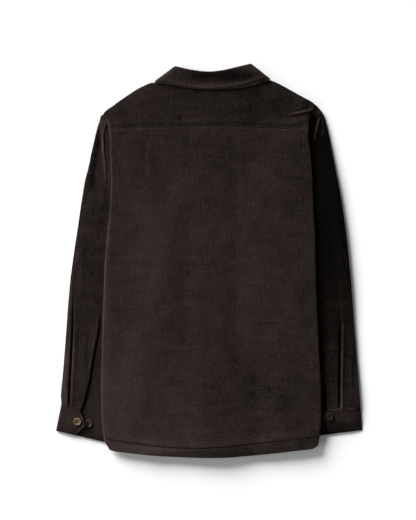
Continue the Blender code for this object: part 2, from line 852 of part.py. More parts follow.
def leaf_stations():
    """Stations round the collar leaf: roll place, free place, height, outward normal, corner share.

    They run from the left front end over the back to the right front end. The corner share is 1
    at the outermost line of a side fold, where the roll is tightest.
    """
    height = COLLAR_LIFT + 2 * BODY_TURN + SEAM_GAP + COLLAR_CLOTH
    radius = height / 2
    folds = {side: collar_fold(side) for side in SIDE_SIGN}
    fronts = {}
    turns = {}
    for side, sign in SIDE_SIGN.items():
        roll, free, inward = folds[side]
        start_roll = roll + inward * radius
        start_free = free + inward * radius
        fronts[side] = []
        for step in range(COLLAR_FRONT_STEPS, 0, -1):
            along = step / COLLAR_FRONT_STEPS
            place = {k: soft(COLLAR_FRONT, k, along, "along") for k in COLLAR_FRONT}
            shift = 1.0 - along
            first = {k: COLLAR_FRONT[k][0] for k in COLLAR_FRONT}
            roll_at = np.array((sign * place["roll_out"] + CENTRE_FRONT * along, place["roll_down"]))
            free_at = np.array((sign * place["edge_out"] + CENTRE_FRONT * along, place["edge_down"]))
            roll_at += shift * (start_roll - np.array((sign * first["roll_out"], first["roll_down"])))
            free_at += shift * (start_free - np.array((sign * first["edge_out"], first["edge_down"])))
            fronts[side].append((roll_at, free_at, 0.0, np.array((0.0, 0.0, -1.0)), 0.0))
        turns[side] = []
        reach = reach_to_roll_line(side)
        for step in range(TURN_STEPS + 1):
            angle = math.pi * (1.0 - step / TURN_STEPS)
            depth = radius * (1.0 - math.sin(angle))
            shift = inward * depth
            roll_at = roll + shift + (reach * depth if angle < math.pi / 2 else 0.0)
            outward = np.array((-inward[0], inward[1], 0.0)) * math.sin(angle)
            normal = outward + np.array((0.0, 0.0, math.cos(angle)))
            level = radius + radius * math.cos(angle)
            turns[side].append((roll_at, free + shift, level, normal, math.sin(angle)))
    back = []
    roll_ends = [turns[side][-1][0] for side in SIDE_SIGN]
    free_ends = [turns[side][-1][1] for side in SIDE_SIGN]
    for share in LEAF_ACROSS:
        roll_x = mix(roll_ends[0][0], roll_ends[1][0], share)
        free_x = mix(free_ends[0][0], free_ends[1][0], share)
        roll_at = np.array((roll_x, collar_middle(COLLAR_ROLL_LINE, roll_ends, roll_x)))
        free_at = np.array((free_x, collar_middle(COLLAR_EDGE_LINE, free_ends, free_x)))
        back.append((roll_at, free_at, height, np.array((0.0, 0.0, 1.0)), 0.0))
    right = turns["right"][::-1] + fronts["right"][::-1]
    return fronts["left"] + turns["left"] + back + right


def leaf_sections():
    """Sections of the collar leaf: round the roll, then flat to the free edge."""
    sections = []
    for roll, free, height, normal, corner in leaf_stations():
        reach = np.array((*roll, 0.0)) - np.array((*free, 0.0))
        length = np.linalg.norm(reach) + CORNER_REACH * corner
        reach /= np.linalg.norm(reach)
        plan_normal = normal * np.array((1.0, -1.0, 1.0))
        radius = mix(COLLAR_ROLL, CORNER_ROLL, corner)
        start = np.array((*free, height)) + reach * (length - radius)
        section = []
        for angle in ROLL_ANGLES:
            turn = math.radians(angle)
            bend = reach * math.sin(turn) - plan_normal * (1.0 - math.cos(turn))
            section.append(start + bend * radius)
        flat = length - radius
        for share in LEAF_SHARES:
            section.append(start - reach * flat * share)
        sections.append(section)
    return sections


def stand_front(side):
    """Stations of the stand along one front: neck place and roll place, from side to centre."""
    sign = SIDE_SIGN[side]
    centre = sign * CENTRE_FRONT
    roll, _, inward = collar_fold(side)
    start = roll + inward * (COLLAR_LIFT + BODY_TURN)
    shift = start - np.array((sign * COLLAR_FRONT["roll_out"][0], COLLAR_FRONT["roll_down"][0]))
    neck_out = FRONT_YOKE_NECK[side][0]
    outs = front_columns(side, neck_out)[FRONT_STEPS:]
    stations = []
    for index, out in enumerate(outs):
        along = min((index + 1) / (len(outs) - 1), 1.0)
        roll_x = sign * soft(COLLAR_FRONT, "roll_out", along, "along") + CENTRE_FRONT * along
        if out < centre:
            roll_x = sign * out
        roll_at = np.array((roll_x, soft(COLLAR_FRONT, "roll_down", along, "along")))
        roll_at += (1.0 - along) * shift
        height = COLLAR_LIFT
        if side == "right":
            height += COLLAR_LIFT * fade(out - centre - PLACKET_HALF, STAND_OVERLAP_FADE)
        low = np.array((sign * out, front_neck_down(side, out), height))
        stations.append((low, np.array((*roll_at, height))))
    return stations


def stand_sections(neck_row):
    """Sections of the collar stand, from the neck seam up to just under the roll."""
    around = neck_row[1:-1]
    stations = stand_front("left")[::-1]
    stations += list(zip(np.array(around), stand_roll_points(around)))
    stations += stand_front("right")
    lows, highs = (np.array(points) for points in zip(*stations))
    neck_runs = np.gradient(lows, axis=0)
    roll_runs = np.gradient(highs, axis=0)
    sections = []
    for low, high, neck_run, roll_run in zip(lows, highs, neck_runs, roll_runs):
        start = low + square_to(high - low, neck_run) * 2 * SEAM_GAP
        back = (low - high) / np.linalg.norm(low - high)
        slant = np.linalg.norm(np.cross(back, roll_run / np.linalg.norm(roll_run)))
        end = high + back * STAND_INSET / max(slant, STAND_LEAST_SLANT)
        sections.append([start, mix(start, end, 0.5), end])
    return sections


def square_to(across, along):
    """Unit direction of a vector, made square to another one."""
    along = along / np.linalg.norm(along)
    squared = across - along * np.dot(across, along)
    return squared / np.linalg.norm(squared)


def stand_roll_points(around):
    """Points under the leaf's roll that match the points of the yoke's neck edge."""
    folds = {side: collar_fold(side) for side in SIDE_SIGN}
    deep = COLLAR_LIFT + BODY_TURN
    starts = [folds[side][0] + folds[side][2] * deep for side in SIDE_SIGN]
    points = []
    for side, sign in SIDE_SIGN.items():
        roll, _, inward = folds[side]
        turned = []
        for step in range(TURN_STEPS + 1):
            depth = COLLAR_LIFT + BODY_TURN * (1.0 - math.sin(math.pi * step / TURN_STEPS))
            turned.append(roll + inward * depth)
        if side == "left":
            points += turned
            for share in ACROSS:
                x = mix(starts[0][0], starts[1][0], share)
                points.append(np.array((x, collar_middle(COLLAR_ROLL_LINE, starts, x))))
        else:
            points += turned
    return [np.array((*place, height)) for place, (_, _, height) in zip(points, around)]


def on_row(side, row, across):
    """Plan place across a sleeve or cuff row, from its outer edge (0) to its inner edge (1)."""
    out, down = mix(row["outer"], row["inner"], across)
    return SIDE_SIGN[side] * out, down + row["bow"] * bow_shape(side, out)


def bow_shape(side, out):
    """How fully a place takes part in the bow of the cuff's upper seam, from 0 to 1."""
    outer, inner = CUFF_CORNERS[side]["out_outer"][0], CUFF_CORNERS[side]["out_inner"][0]
    across = (outer - out) / (outer - inner)
    bowed = across / BOW_AT if across < BOW_AT else (1.0 - across) / (1.0 - BOW_AT)
    return min(max(bowed, 0.0), 1.0)


def across_of_line(row, line):
    """Share of the way across a sleeve row where it meets a line of the sleeve."""
    across = 0.3
    for _ in range(12):
        _, down = on_row("right", row, across)
        out = soft(line, "out", down)
        across = (row["outer"][0] - out) / (row["outer"][0] - row["inner"][0])
        across = min(max(across, 0.02), 0.9)
    return across


def cuff_line_down(side, out):
    """Distance down of the cuff's top line at a place out from the centre."""
    top = {k: CUFF_CORNERS[side][k][0] for k in CUFF_CORNERS[side]}
    share = (top["out_outer"] - out) / (top["out_outer"] - top["out_inner"])
    straight = mix(top["down_outer"], top["down_inner"], share)
    return straight + top["bow"] * bow_shape(side, out)


def sleeve_rows(side):
    """Rows of a sleeve, from the armhole line to the cuff seam."""
    rows = []
    end_outer = SLEEVE_OUTER[side]["out"][-1]
    end_inner = SLEEVE_INNER[side]["out"][-1]
    last = {
        "outer": cuff_line_down(side, end_outer) - 2 * SEAM_GAP,
        "inner": cuff_line_down(side, end_inner) - 2 * SEAM_GAP,
    }
    for share, dropped, lapped in zip(*(SLEEVE_ROWS[k] for k in ("share", "dropped", "lapped"))):
        outer_down = mix(SLEEVE_START[side], last["outer"], share)
        inner_down = mix(SLEEVE_ARMPIT, last["inner"], share)
        row = {
            "outer": np.array((soft(SLEEVE_OUTER[side], "out", outer_down), outer_down)),
            "inner": np.array((soft(SLEEVE_INNER[side], "out", inner_down), inner_down)),
            "bow": CUFF_CORNERS[side]["bow"][0] * max(0.0, (share - BOW_FROM) / (1.0 - BOW_FROM)),
            "drop": SLIT_DROP * dropped,
            "lap": mix(-SEAM_GAP, SLIT_OVERLAP, lapped),
        }
        row["length"] = np.linalg.norm(row["inner"] - row["outer"])
        rows.append(row)
    for edge, other in (("outer", "inner"), ("inner", "outer")):
        places = np.array([row[edge] for row in rows])
        runs = np.gradient(places, axis=0)
        for row, run in zip(rows, runs):
            across = np.array((-run[1], run[0])) / np.linalg.norm(run)
            if np.dot(across, row[other] - row[edge]) < 0.0:
                across = -across
            row["from_" + edge] = np.array((SIDE_SIGN[side] * across[0], across[1]))
    return rows


def sleeve_height(side, x, down):
    """Height of the sleeve's upper face: full where it shows, pressed flat under the body."""
    outside = SIDE_SIGN[side] * x - soft(BODY_EDGE[side], "out", down)
    full = soft(SLEEVE_HEIGHT, "full", down)
    pressed = soft(SLEEVE_HEIGHT, "pressed_" + side, down)
    return mix(pressed, full, 1.0 - fade(outside - BODY_CLEAR, SWELL_WIDTH))


def top_sleeve_sections(side):
    """Sections of the top sleeve: from the elbow seam round the outer edge to the underside."""
    sections = []
    relief = []
    for row in sleeve_rows(side):
        width = row["length"]
        seam = across_of_line(row, ELBOW_SEAM[side])
        crease = across_of_line(row, SLEEVE_CREASE[side])
        beside = CREASE_BESIDE / width
        crease = max(crease, (SLEEVE_TURN + CREASE_FROM_FOLD) / width + beside)
        crease = min(crease, seam - CREASE_FROM_SEAM / width)
        body_edge = across_of_line(row, BODY_EDGE[side]) - BODY_CLEAR / width
        body_edge = min(body_edge, seam - BODY_FROM_SEAM / width)
        body_edge = max(body_edge, crease + CREASE_FROM_BODY / width)
        _, crease_down = on_row(side, row, crease)
        radius = min(SLEEVE_TURN, soft(SLEEVE_HEIGHT, "full", row["outer"][1]) / 2)
        near = crease + beside
        shares = [seam, body_edge, mix(body_edge, near, 0.5), near, crease, crease - beside]
        shares.append(mix(crease - beside, radius / width, 0.5))
        points = []
        for share in shares:
            x, down = on_row(side, row, share)
            points.append((x, down, sleeve_height(side, x, down)))
        edge = np.array(on_row(side, row, 0.0))
        points += turned_edge(edge, row["from_outer"], 0.0, radius)
        for share in (*SLEEVE_UNDERSIDE, 1.0 - SIDE_LAP / width):
            points.append((*on_row(side, row, share), 0.0))
        sections.append(points)
        rise = [soft(SLEEVE_CREASE[side], k, crease_down) for k in ("inner", "line", "outer")]
        lifted = [0.0, 0.0, 0.0]
        for (x, down, _), height in zip(points[3:6], rise):
            outside = SIDE_SIGN[side] * x - soft(BODY_EDGE[side], "out", down)
            lifted.append(height * (1.0 - fade(outside - CREASE_CLEAR, CREASE_FADE)))
        relief.append(lifted + [0.0] * (len(points) - len(lifted)))
    return sections, relief


def under_sleeve_sections(side):
    """Sections of the under sleeve: from the elbow seam round the inner edge to the underside."""
    sections = []
    for row in sleeve_rows(side):
        width = row["length"]
        seam = across_of_line(row, ELBOW_SEAM[side])
        seam_height = sleeve_height(side, *on_row(side, row, seam))
        body_edge = across_of_line(row, BODY_EDGE[side]) - BODY_CLEAR / width
        near = seam + LAP_STEP / width
        shares = (
            seam - row["lap"] / width,
            near,
            max(body_edge, near + LAP_TO_BODY / width),
            mix(seam, 1.0, UNDER_SHARE),
        )
        points = []
        for share in shares:
            x, down = on_row(side, row, share)
            height = sleeve_height(side, x, down)
            if row["drop"] > 0.0:
                height = min(height, seam_height - row["drop"])
            points.append((x, down, height))
        edge = np.array(on_row(side, row, 1.0))
        points += turned_edge(edge, row["from_inner"], 0.0, SLEEVE_INNER_TURN)
        points.append((*on_row(side, row, 1.0 - (SIDE_LAP - SEAM_GAP) / width), 0.0))
        sections.append(points)
    return sections


def cuff_sections(side):
    """Sections of a cuff: from the tab's point round the arm to the lap under the tab."""
    corners = CUFF_CORNERS[side]
    sections = []
    tab_rows = CUFF_TAB[side]
    tip = float(np.max(tab_rows["across"]))
    for along, end, rise in zip(*(tab_rows[k] for k in ("along", "across", "rise"))):
        outer = np.array([mix(*corners["out_outer"], along), mix(*corners["down_outer"], along)])
        inner = np.array([mix(*corners["out_inner"], along), mix(*corners["down_inner"], along)])
        width = np.linalg.norm(inner - outer)
        row = {"outer": outer, "inner": inner, "bow": mix(*corners["bow"], along)}
        lap_end = tip - UNDERLAP_BEHIND_TIP / width
        near = min(lap_end, end - TAB_LENGTH / width)
        points = []
        for behind, lifted in TAB_BEND:
            height = CUFF_TAB_HEIGHT + rise * lifted
            points.append((*on_row(side, row, end - behind / width), height))
        points.append((*on_row(side, row, near), CUFF_TAB_HEIGHT))
        for share in CUFF_SLOPE:
            height = mix(2 * CUFF_TURN, CUFF_TAB_HEIGHT, share)
            points.append((*on_row(side, row, mix(CUFF_TURN / width, near, share)), height))
        inward = (inner - outer) / width
        inward = np.array((SIDE_SIGN[side] * inward[0], inward[1]))
        points += turned_edge(np.array(on_row(side, row, 0.0)), inward, 0.0, CUFF_TURN)
        for share in CUFF_UNDERSIDE:
            points.append((*on_row(side, row, share), 0.0))
        around = turned_edge(np.array(on_row(side, row, 1.0)), -inward, 0.0, CUFF_INNER_TURN)
        points += around[::-1]
        for share in (mix(tip, 1.0, 0.6), mix(tip, 1.0, 0.2), mix(tip, lap_end, 0.4), lap_end):
            points.append((*on_row(side, row, share), UNDERLAP_HEIGHT))
        sections.append(points)
    return sections


def button(name, x, down, bottom, upward=True):
    """A flat round button with a chamfered rim on its outer face."""
    mesh = bmesh.new()
    rings = []
    far = BUTTON_THICK - BUTTON_CHAMFER
    profile = ((BUTTON_RADIUS, 0.0), (BUTTON_RADIUS, far), (BUTTON_RADIUS - BUTTON_CHAMFER, BUTTON_THICK))
    for radius, height in profile:
        level = bottom + height if upward else bottom + BUTTON_THICK - height
        ring = []
        for step in range(BUTTON_SIDES):
            angle = 2 * math.pi * step / BUTTON_SIDES
            ring.append(mesh.verts.new((
                x + radius * math.cos(angle), NAPE_Y - down + radius * math.sin(angle), level,
            )))
        rings.append(ring)
    for low, high in zip(rings, rings[1:]):
        for step in range(BUTTON_SIDES):
            following = (step + 1) % BUTTON_SIDES
            mesh.faces.new((low[step], low[following], high[following], high[step]))
    mesh.faces.new(rings[0])
    mesh.faces.new(rings[-1])
    add_object(name, mesh, "horn")


def build_body():
    """Back, yoke and fronts."""
    yoke = yoke_sections()
    middle = TURN_STEPS + 2 + len(ACROSS) // 2
    wall("yoke", yoke, CLOTH, (len(yoke) // 2, middle), relief=shoulder_relief(yoke))
    back = back_sections()
    first, last = TURN_STEPS + 2, TURN_STEPS + 1 + len(ACROSS)
    relief = [
        [rise if first <= c <= last else 0.0 for c in range(len(back[0]))]
        for rise in BODY_ROWS["relief"]
    ]
    wall("back", back, CLOTH, (len(back) // 2, middle), relief=relief)
    for side in SIDE_SIGN:
        wall("front_" + side, front_sections(side), CLOTH, (0, 0), looks=-1.0)
    return yoke


def build_collar(yoke):
    """Leaf and stand, in stations round the neck."""
    for name, stations in (("leaf", leaf_sections()), ("stand", stand_sections(yoke[0]))):
        wall("collar_" + name, stations, COLLAR_CLOTH, (len(stations) // 2, -1))


def build_sleeves():
    """Top sleeves, under sleeves and cuffs."""
    for side in SIDE_SIGN:
        sections, relief = top_sleeve_sections(side)
        wall("sleeve_top_" + side, sections, CLOTH, (len(sections) // 2, 0), relief=relief)
        sections = under_sleeve_sections(side)
        wall("sleeve_under_" + side, sections, CLOTH, (len(sections) // 2, 0))
        sections = cuff_sections(side)
        wall("cuff_" + side, sections, CUFF_CLOTH, (len(sections) // 2, 3))


def build_buttons():
    """Cuff buttons on top, front buttons under the placket."""
    levels = (CUFF_TAB_HEIGHT + SHANK, UNDERLAP_HEIGHT + SEAM_GAP)
    for side in SIDE_SIGN:
        rows = CUFF_BUTTONS[side]
        for number, (out, down, level) in enumerate(zip(rows["out"], rows["down"], levels), 1):
            button(f"cuff_button_{side}_{number}", SIDE_SIGN[side] * out, down, level)
    button("stand_button", CENTRE_FRONT, STAND_BUTTON_DOWN, 0.0, upward=False)
    for number in range(FRONT_BUTTONS):
        down = FRONT_BUTTON_FIRST + FRONT_BUTTON_PITCH * number
        button(f"front_button_{number + 1}", CENTRE_FRONT, down, 0.0, upward=False)


def main():
    for old in list(bpy.data.objects):
        bpy.data.objects.remove(old, do_unlink=True)
    yoke = build_body()
    build_collar(yoke)
    build_sleeves()
    build_buttons()


main()
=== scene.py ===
# %% [markdown]
# # A corduroy shacket, laid flat on its front
#
# The garment lies face down on a pale surface and is seen from straight above. Its panels already
# exist as plain closed walls in the packed model. This lesson makes each one again as cloth: finer
# and rounder, with the creases that laying it down has left, and then gives it ribs, stitching
# and buttons. The plain walls stay in the file for collision and are no longer shown.

import math

import bmesh
import bpy
import numpy as np
from mathutils import Matrix, Vector
from mathutils.bvhtree import BVHTree


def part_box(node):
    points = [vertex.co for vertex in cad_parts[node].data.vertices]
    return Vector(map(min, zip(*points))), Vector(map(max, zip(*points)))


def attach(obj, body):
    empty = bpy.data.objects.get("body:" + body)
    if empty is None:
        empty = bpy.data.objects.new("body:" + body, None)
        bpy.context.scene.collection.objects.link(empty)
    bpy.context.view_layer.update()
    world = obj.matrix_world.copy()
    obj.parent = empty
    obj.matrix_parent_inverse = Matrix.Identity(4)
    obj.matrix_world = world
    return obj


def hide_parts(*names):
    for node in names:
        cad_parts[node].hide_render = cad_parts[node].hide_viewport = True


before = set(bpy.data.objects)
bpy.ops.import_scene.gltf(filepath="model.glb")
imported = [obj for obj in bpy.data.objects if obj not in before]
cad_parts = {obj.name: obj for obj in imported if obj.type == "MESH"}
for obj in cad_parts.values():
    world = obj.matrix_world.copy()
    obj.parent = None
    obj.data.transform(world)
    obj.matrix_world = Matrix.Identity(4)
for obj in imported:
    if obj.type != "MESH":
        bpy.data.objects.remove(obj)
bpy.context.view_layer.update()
MM = 0.001
NAPE_Y = 0.3598

# %% [markdown]
# ## The camera
#
# A flat lay is photographed from straight above. The camera looks down along Z, far enough away
# that the collar isn't drawn larger than the hem, and its angle of view is worked out from the
# size of one pixel on the table.

# %% Look straight down at the garment
IMAGE = (416, 520)
PIXEL = 2.06 * MM
NAPE_PIXEL = (209.2, 86.0)
FRAME_CENTRE = (
    (IMAGE[0] / 2 - NAPE_PIXEL[0]) * PIXEL, NAPE_Y - (IMAGE[1] / 2 - NAPE_PIXEL[1]) * PIXEL)
CAMERA_HEIGHT = 3.4
CLOTH_LEVEL = 6 * MM
FILM_HEIGHT = 36.0

view = bpy.data.cameras.new("camera")
view.sensor_fit = "VERTICAL"
view.sensor_height = FILM_HEIGHT
view.lens = FILM_HEIGHT * CAMERA_HEIGHT / (IMAGE[1] * PIXEL)
view.sensor_width = FILM_HEIGHT * IMAGE[0] / IMAGE[1]
camera = bpy.data.objects.new("camera", view)
camera.location = (FRAME_CENTRE[0], FRAME_CENTRE[1], CAMERA_HEIGHT + CLOTH_LEVEL)
bpy.context.scene.collection.objects.link(camera)
bpy.context.scene.camera = camera
print(f"the frame covers {IMAGE[0] * PIXEL:.3f} x {IMAGE[1] * PIXEL:.3f} m, lens {view.lens:.0f} mm")

# %% [markdown]
# ## Lines drawn on the garment
#
# Creases, seams and rows of stitches all follow lines on the cloth. Each line is a short list of
# points, written as x and the distance below the nape in millimetres, the way a pattern cutter
# would measure them with a tape. Two helpers say how far any point lies from such a line.

# %% Measure from a line
def soft_step(value):
    """0 below 0, 1 above 1, smooth between."""
    value = np.clip(value, 0.0, 1.0)
    return value * value * (3.0 - 2.0 * value)


def along_path(path, x, down):
    """Signed distance to a line and the share of its length, at every point. Right is positive."""
    path = np.array(path, dtype=float)
    steps = np.diff(path, axis=0)
    lengths = np.linalg.norm(steps, axis=1)
    starts = np.concatenate([[0.0], np.cumsum(lengths)[:-1]])
    best = np.full(len(x), 1e9)
    side = np.zeros(len(x))
    share = np.zeros(len(x))
    for start, step, length, before in zip(path, steps, lengths, starts):
        unit = step / length
        dx, dy = x - start[0], down - start[1]
        run = np.clip(dx * unit[0] + dy * unit[1], 0.0, length)
        off = np.hypot(dx - unit[0] * run, dy - unit[1] * run)
        nearer = off < best
        best = np.where(nearer, off, best)
        side = np.where(nearer, np.sign(unit[0] * dy - unit[1] * dx), side)
        share = np.where(nearer, (before + run) / lengths.sum(), share)
    return best * side, share


def moved(path, right=0.0, below=0.0):
    """The same line, shifted."""
    return [(x + right, down + below) for x, down in path]


def rounded(path, rounds=3):
    """The same line with its corners cut off again and again, so that it runs in a curve."""
    path = np.array(path, dtype=float)
    for _ in range(rounds):
        first, second = path[:-1], path[1:]
        cuts = np.stack([0.75 * first + 0.25 * second, 0.25 * first + 0.75 * second], axis=1)
        path = np.concatenate([path[:1], cuts.reshape(-1, 2)[1:-1], path[-1:]])
    return [tuple(point) for point in path]


example = along_path([(0, 0), (0, 9)], np.array([-3.0]), np.array([4.0]))[0][0]
print("a point 3 to the right of a line that runs down lies at", example)

# %% The lines of this garment
HEM_LINE = rounded([
    (-217, 727), (-205, 728), (-175, 734), (-143, 739), (-70, 746.5), (10, 746.5), (92, 738.5),
    (150, 731), (228, 724.5),
])
YOKE_LINE = rounded([
    (-205, 89.3), (-167, 88), (-103, 86.1), (-42, 85.3), (80, 85.3), (152, 88.6), (206, 89.3),
])
COLLAR_EDGE = [
    (-108, -12), (-87, -3.1), (-50, 4.7), (-19, 8.7), (3, 9.3), (34, 7.2), (64, 2.5), (92, -5.2),
    (120, -14),
]
SLEEVE_SEAM_LEFT = [
    (-222.9, 457.3), (-225.6, 502.6), (-229.3, 521), (-235.3, 550), (-240.8, 583), (-243.7, 595),
]
SLIT_LEFT = [
    (-243.7, 595), (-246.6, 610), (-249.8, 622), (-253.6, 636), (-255.2, 645), (-258.6, 656),
    (-265, 672),
]
TAB_LEFT = [(-264.6, 670), (-259.3, 680), (-256.4, 690), (-254.8, 700), (-262, 708.5), (-273.5, 721)]
PLEAT_LEFT = [(-279.7, 416), (-281.2, 502), (-284.1, 566), (-286.1, 600), (-288, 641), (-289, 656)]
PLEAT_RIGHT = [(271, 460), (270.9, 502), (268.8, 618), (268.8, 653), (269.2, 661)]
SLIT_RIGHT = [(232.4, 599), (235, 610), (238.5, 620), (238.8, 640), (240, 666)]
TAB_RIGHT = [(240, 665), (238.2, 680), (238.9, 693), (242.9, 712)]
CUFF_SEAM_LEFT = [(-306, 656), (-264, 670), (-230, 671), (-190, 677)]
CUFF_SEAM_RIGHT = [(197, 670), (240, 667), (312, 662.7)]
print("hem line", len(HEM_LINE), "points, collar edge", len(COLLAR_EDGE), "points")

# %% [markdown]
# ## Creases
#
# A crease in thick cotton is a soft ridge with a hollow on one side. Each one is a row in a table:
# how high it rises, how wide it is, how deep its hollow is, how slowly it starts and ends, and the
# line that it follows. The hollow lies on the right of the line as one walks along it. A cloth
# simulation would give folds of its own choosing, and these have a place.

# %% The creases of each piece
CREASES = {
    # rise, width, hollow, share of the length to start over, share to end over, line
    "back": [
        (-0.4, 1.5, 0.0, 0.02, 0.02, HEM_LINE),
        (-0.6, 1.5, 0.0, 0.02, 0.60, HEM_LINE),
        (5.0, 45.0, 0.0, 0.25, 0.45, [(-205, 750), (-100, 764), (12, 766), (120, 757), (222, 742)]),
        (0.7, 4.0, 0.0, 0.05, 0.50, moved(HEM_LINE, below=-6.5)),
        (-0.7, 1.2, 0.0, 0.1, 0.3, [(-212, 716), (-208, 722), (-203, 727)]),
        (-1.8, 16.0, 0.0, 0.0, 0.50, [(-226, 735), (-195, 757), (-150, 760), (-105, 763)]),
        (-2.6, 17.0, 0.0, 0.7, 0.00, [(120, 756), (190, 750), (226, 732)]),
        (0.2, 1.8, 0.0, 0.02, 0.02, moved(YOKE_LINE, below=2.2)),
        (0.6, 9.0, 0.3, 0.2, 0.5, [(-60, 95), (-52, 150), (-58, 210)]),
        (0.6, 8.0, 0.3, 0.2, 0.5, [(-115, 96), (-122, 150), (-112, 220)]),
        (0.5, 9.0, 0.3, 0.2, 0.5, [(60, 95), (66, 160), (58, 230)]),
        (0.5, 12.0, 0.4, 0.4, 0.4, [(-150, 560), (-90, 600), (-20, 612)]),
        (0.4, 10.0, 0.3, 0.4, 0.4, [(10, 350), (60, 372), (120, 366)]),
        (0.5, 11.0, 0.3, 0.4, 0.4, [(40, 640), (100, 622), (170, 640)]),
        (0.5, 9.0, 0.4, 0.5, 0.4, [(-130, 498), (-60, 520), (-10, 512)]),
        (0.4, 8.0, 0.4, 0.3, 0.5, [(-180, 690), (-110, 702), (-30, 694)]),
    ],
    "yoke": [
        (-0.12, 3.0, 0.0, 0.05, 0.05, moved(YOKE_LINE, below=-3.0)),
        (0.25, 5.0, 0.0, 0.05, 0.05, moved(YOKE_LINE, below=-11.0)),
        (-1.0, 1.5, 0.0, 0.4, 0.4, [(-65, 59), (-61, 67), (-57, 76)]),
        (0.9, 2.6, 0.9, 0.2, 0.5, [(221, 46), (204, 51.5), (184, 56), (150, 64)]),
        (0.5, 6.0, 0.4, 0.5, 0.2, [(150, 84), (176, 72), (208, 66)]),
        (0.7, 5.0, 0.0, 0.1, 0.1, moved(COLLAR_EDGE, below=4.0)),
        (3.0, 20.0, 0.0, 0.3, 0.2, [(116, 2), (170, 18), (212, 38)]),
    ],
    "collar_leaf": [
        (0.8, 3.2, 0.0, 0.05, 0.05, moved(COLLAR_EDGE, below=-5.0)),
        (-0.5, 5.5, 0.0, 0.15, 0.15, moved(COLLAR_EDGE, below=-15.0)),
        (2.6, 14.0, 0.0, 0.6, 0.0, [(60, -30), (100, -26), (122, -16)]),
    ],
    "sleeve_top_left": [
        (1.9, 6.0, 0.0, 0.10, 0.10, [(-223, 58), (-214, 65), (-208, 82)]),
        (-2.4, 2.0, 0.0, 0.45, 0.0, PLEAT_LEFT),
        (1.1, 4.0, 0.0, 0.5, 0.0, moved(PLEAT_LEFT, right=6.0)),
        (0.9, 3.5, 0.0, 0.4, 0.0, [(-297.7, 579), (-295, 612), (-291, 649), (-290, 664)]),
        (-2.2, 1.7, 0.0, 0.4, 0.05, SLEEVE_SEAM_LEFT),
        (0.8, 3.5, 0.0, 0.4, 0.05, moved(SLEEVE_SEAM_LEFT, right=-4.5)),
        (0.7, 5.0, 0.4, 0.5, 0.4, [(-262, 640), (-256, 600), (-258, 540), (-252, 480)]),
        (0.6, 7.0, 0.4, 0.4, 0.4, [(-268, 300), (-262, 380), (-262, 440)]),
        (0.5, 6.0, 0.4, 0.4, 0.4, [(-246, 170), (-240, 230), (-244, 290)]),
    ],
    "sleeve_top_right": [
        (3.4, 8.0, 0.0, 0.10, 0.10, [(222, 36), (211, 52), (206, 80)]),
        (-2.4, 1.8, 0.0, 0.45, 0.0, PLEAT_RIGHT),
        (1.1, 2.8, 0.0, 0.5, 0.0, moved(PLEAT_RIGHT, right=5.0)),
        (0.8, 4.0, 0.0, 0.5, 0.0, moved(PLEAT_RIGHT, right=-6.0)),
        (-0.9, 1.4, 0.0, 0.2, 0.4, [(232.8, 58.5), (234, 84), (234, 108)]),
        (0.7, 6.0, 0.5, 0.4, 0.4, [(252, 420), (258, 500), (256, 590)]),
        (0.6, 7.0, 0.4, 0.4, 0.4, [(262, 250), (272, 330), (274, 410)]),
        (0.8, 5.0, 0.5, 0.5, 0.3, [(296, 660), (292, 600), (296, 520)]),
        (2.2, 16.0, 0.0, 0.3, 0.3, [(244, 90), (266, 240), (282, 400), (290, 520)]),
    ],
    "cuff_left": [
        (0.35, 2.2, 0.0, 0.05, 0.05, [(-305, 659), (-262, 668)]),
    ],
}
print(sum(len(rows) for rows in CREASES.values()), "creases on", len(CREASES), "pieces")

# %% Add up the height of all creases
HOLLOW_PLACE = 1.7  # widths from the line to the middle of its hollow
WAVER = 0.9
SLOWER = 0.7
CALMED = 0.7
UNEVEN = [
    # height mm, wavelength across and along mm, phase
    (0.34, 118.0, 310.0, 0.3),
    (0.24, 74.0, 190.0, 1.9),
    (0.16, 41.0, 97.0, 4.1),
    (0.12, 63.0, 52.0, 2.6),
]


def crease_height(x, down, rise, width, hollow, start, end, path):
    """Height that one crease adds at every point."""
    off, share = along_path(path, x, down)
    fade = soft_step(share / start) if start else 1.0
    if end:
        fade = fade * soft_step((1.0 - share) / end)
    ridge = rise * np.exp(-((off / width) ** 2))
    trough = hollow * np.exp(-(((off - HOLLOW_PLACE * width) / width) ** 2))
    return (ridge - trough) * fade


def unevenness(x, down):
    """Slow waves that no thick cloth is without."""
    height = np.zeros(len(x))
    for size, across, lengthways, phase in UNEVEN:
        wave = np.sin(x * math.tau / across + phase + WAVER * np.sin(down * math.tau / lengthways))
        height += size * wave * np.cos(down * math.tau / lengthways * SLOWER + 2 * phase) * CALMED
    return height


def points_of(data):
    """A mesh's points in millimetres, one row each."""
    points = np.empty(len(data.vertices) * 3)
    data.vertices.foreach_get("co", points)
    return points.reshape(-1, 3) / MM


def plan_of(points):
    """x and the distance below the nape."""
    return points[:, 0], NAPE_Y / MM - points[:, 1]


waviness = unevenness(np.array([0.0]), np.array([300.0]))[0]
print("unevenness at the middle of the back:", waviness.round(2), "mm")

# %% [markdown]
# ## Tugs at corners and edges
#
# A few corners and cut edges of the plain walls lie a millimetre or two from where they are on the
# garment, and here and there a slit is left between two pieces. On the real one a tug with two
# fingers puts that right. Each tug is a row that says where, how far and how wide it reaches. Every
# corner could be moved by hand instead, but then the mesh could never be made finer or coarser.

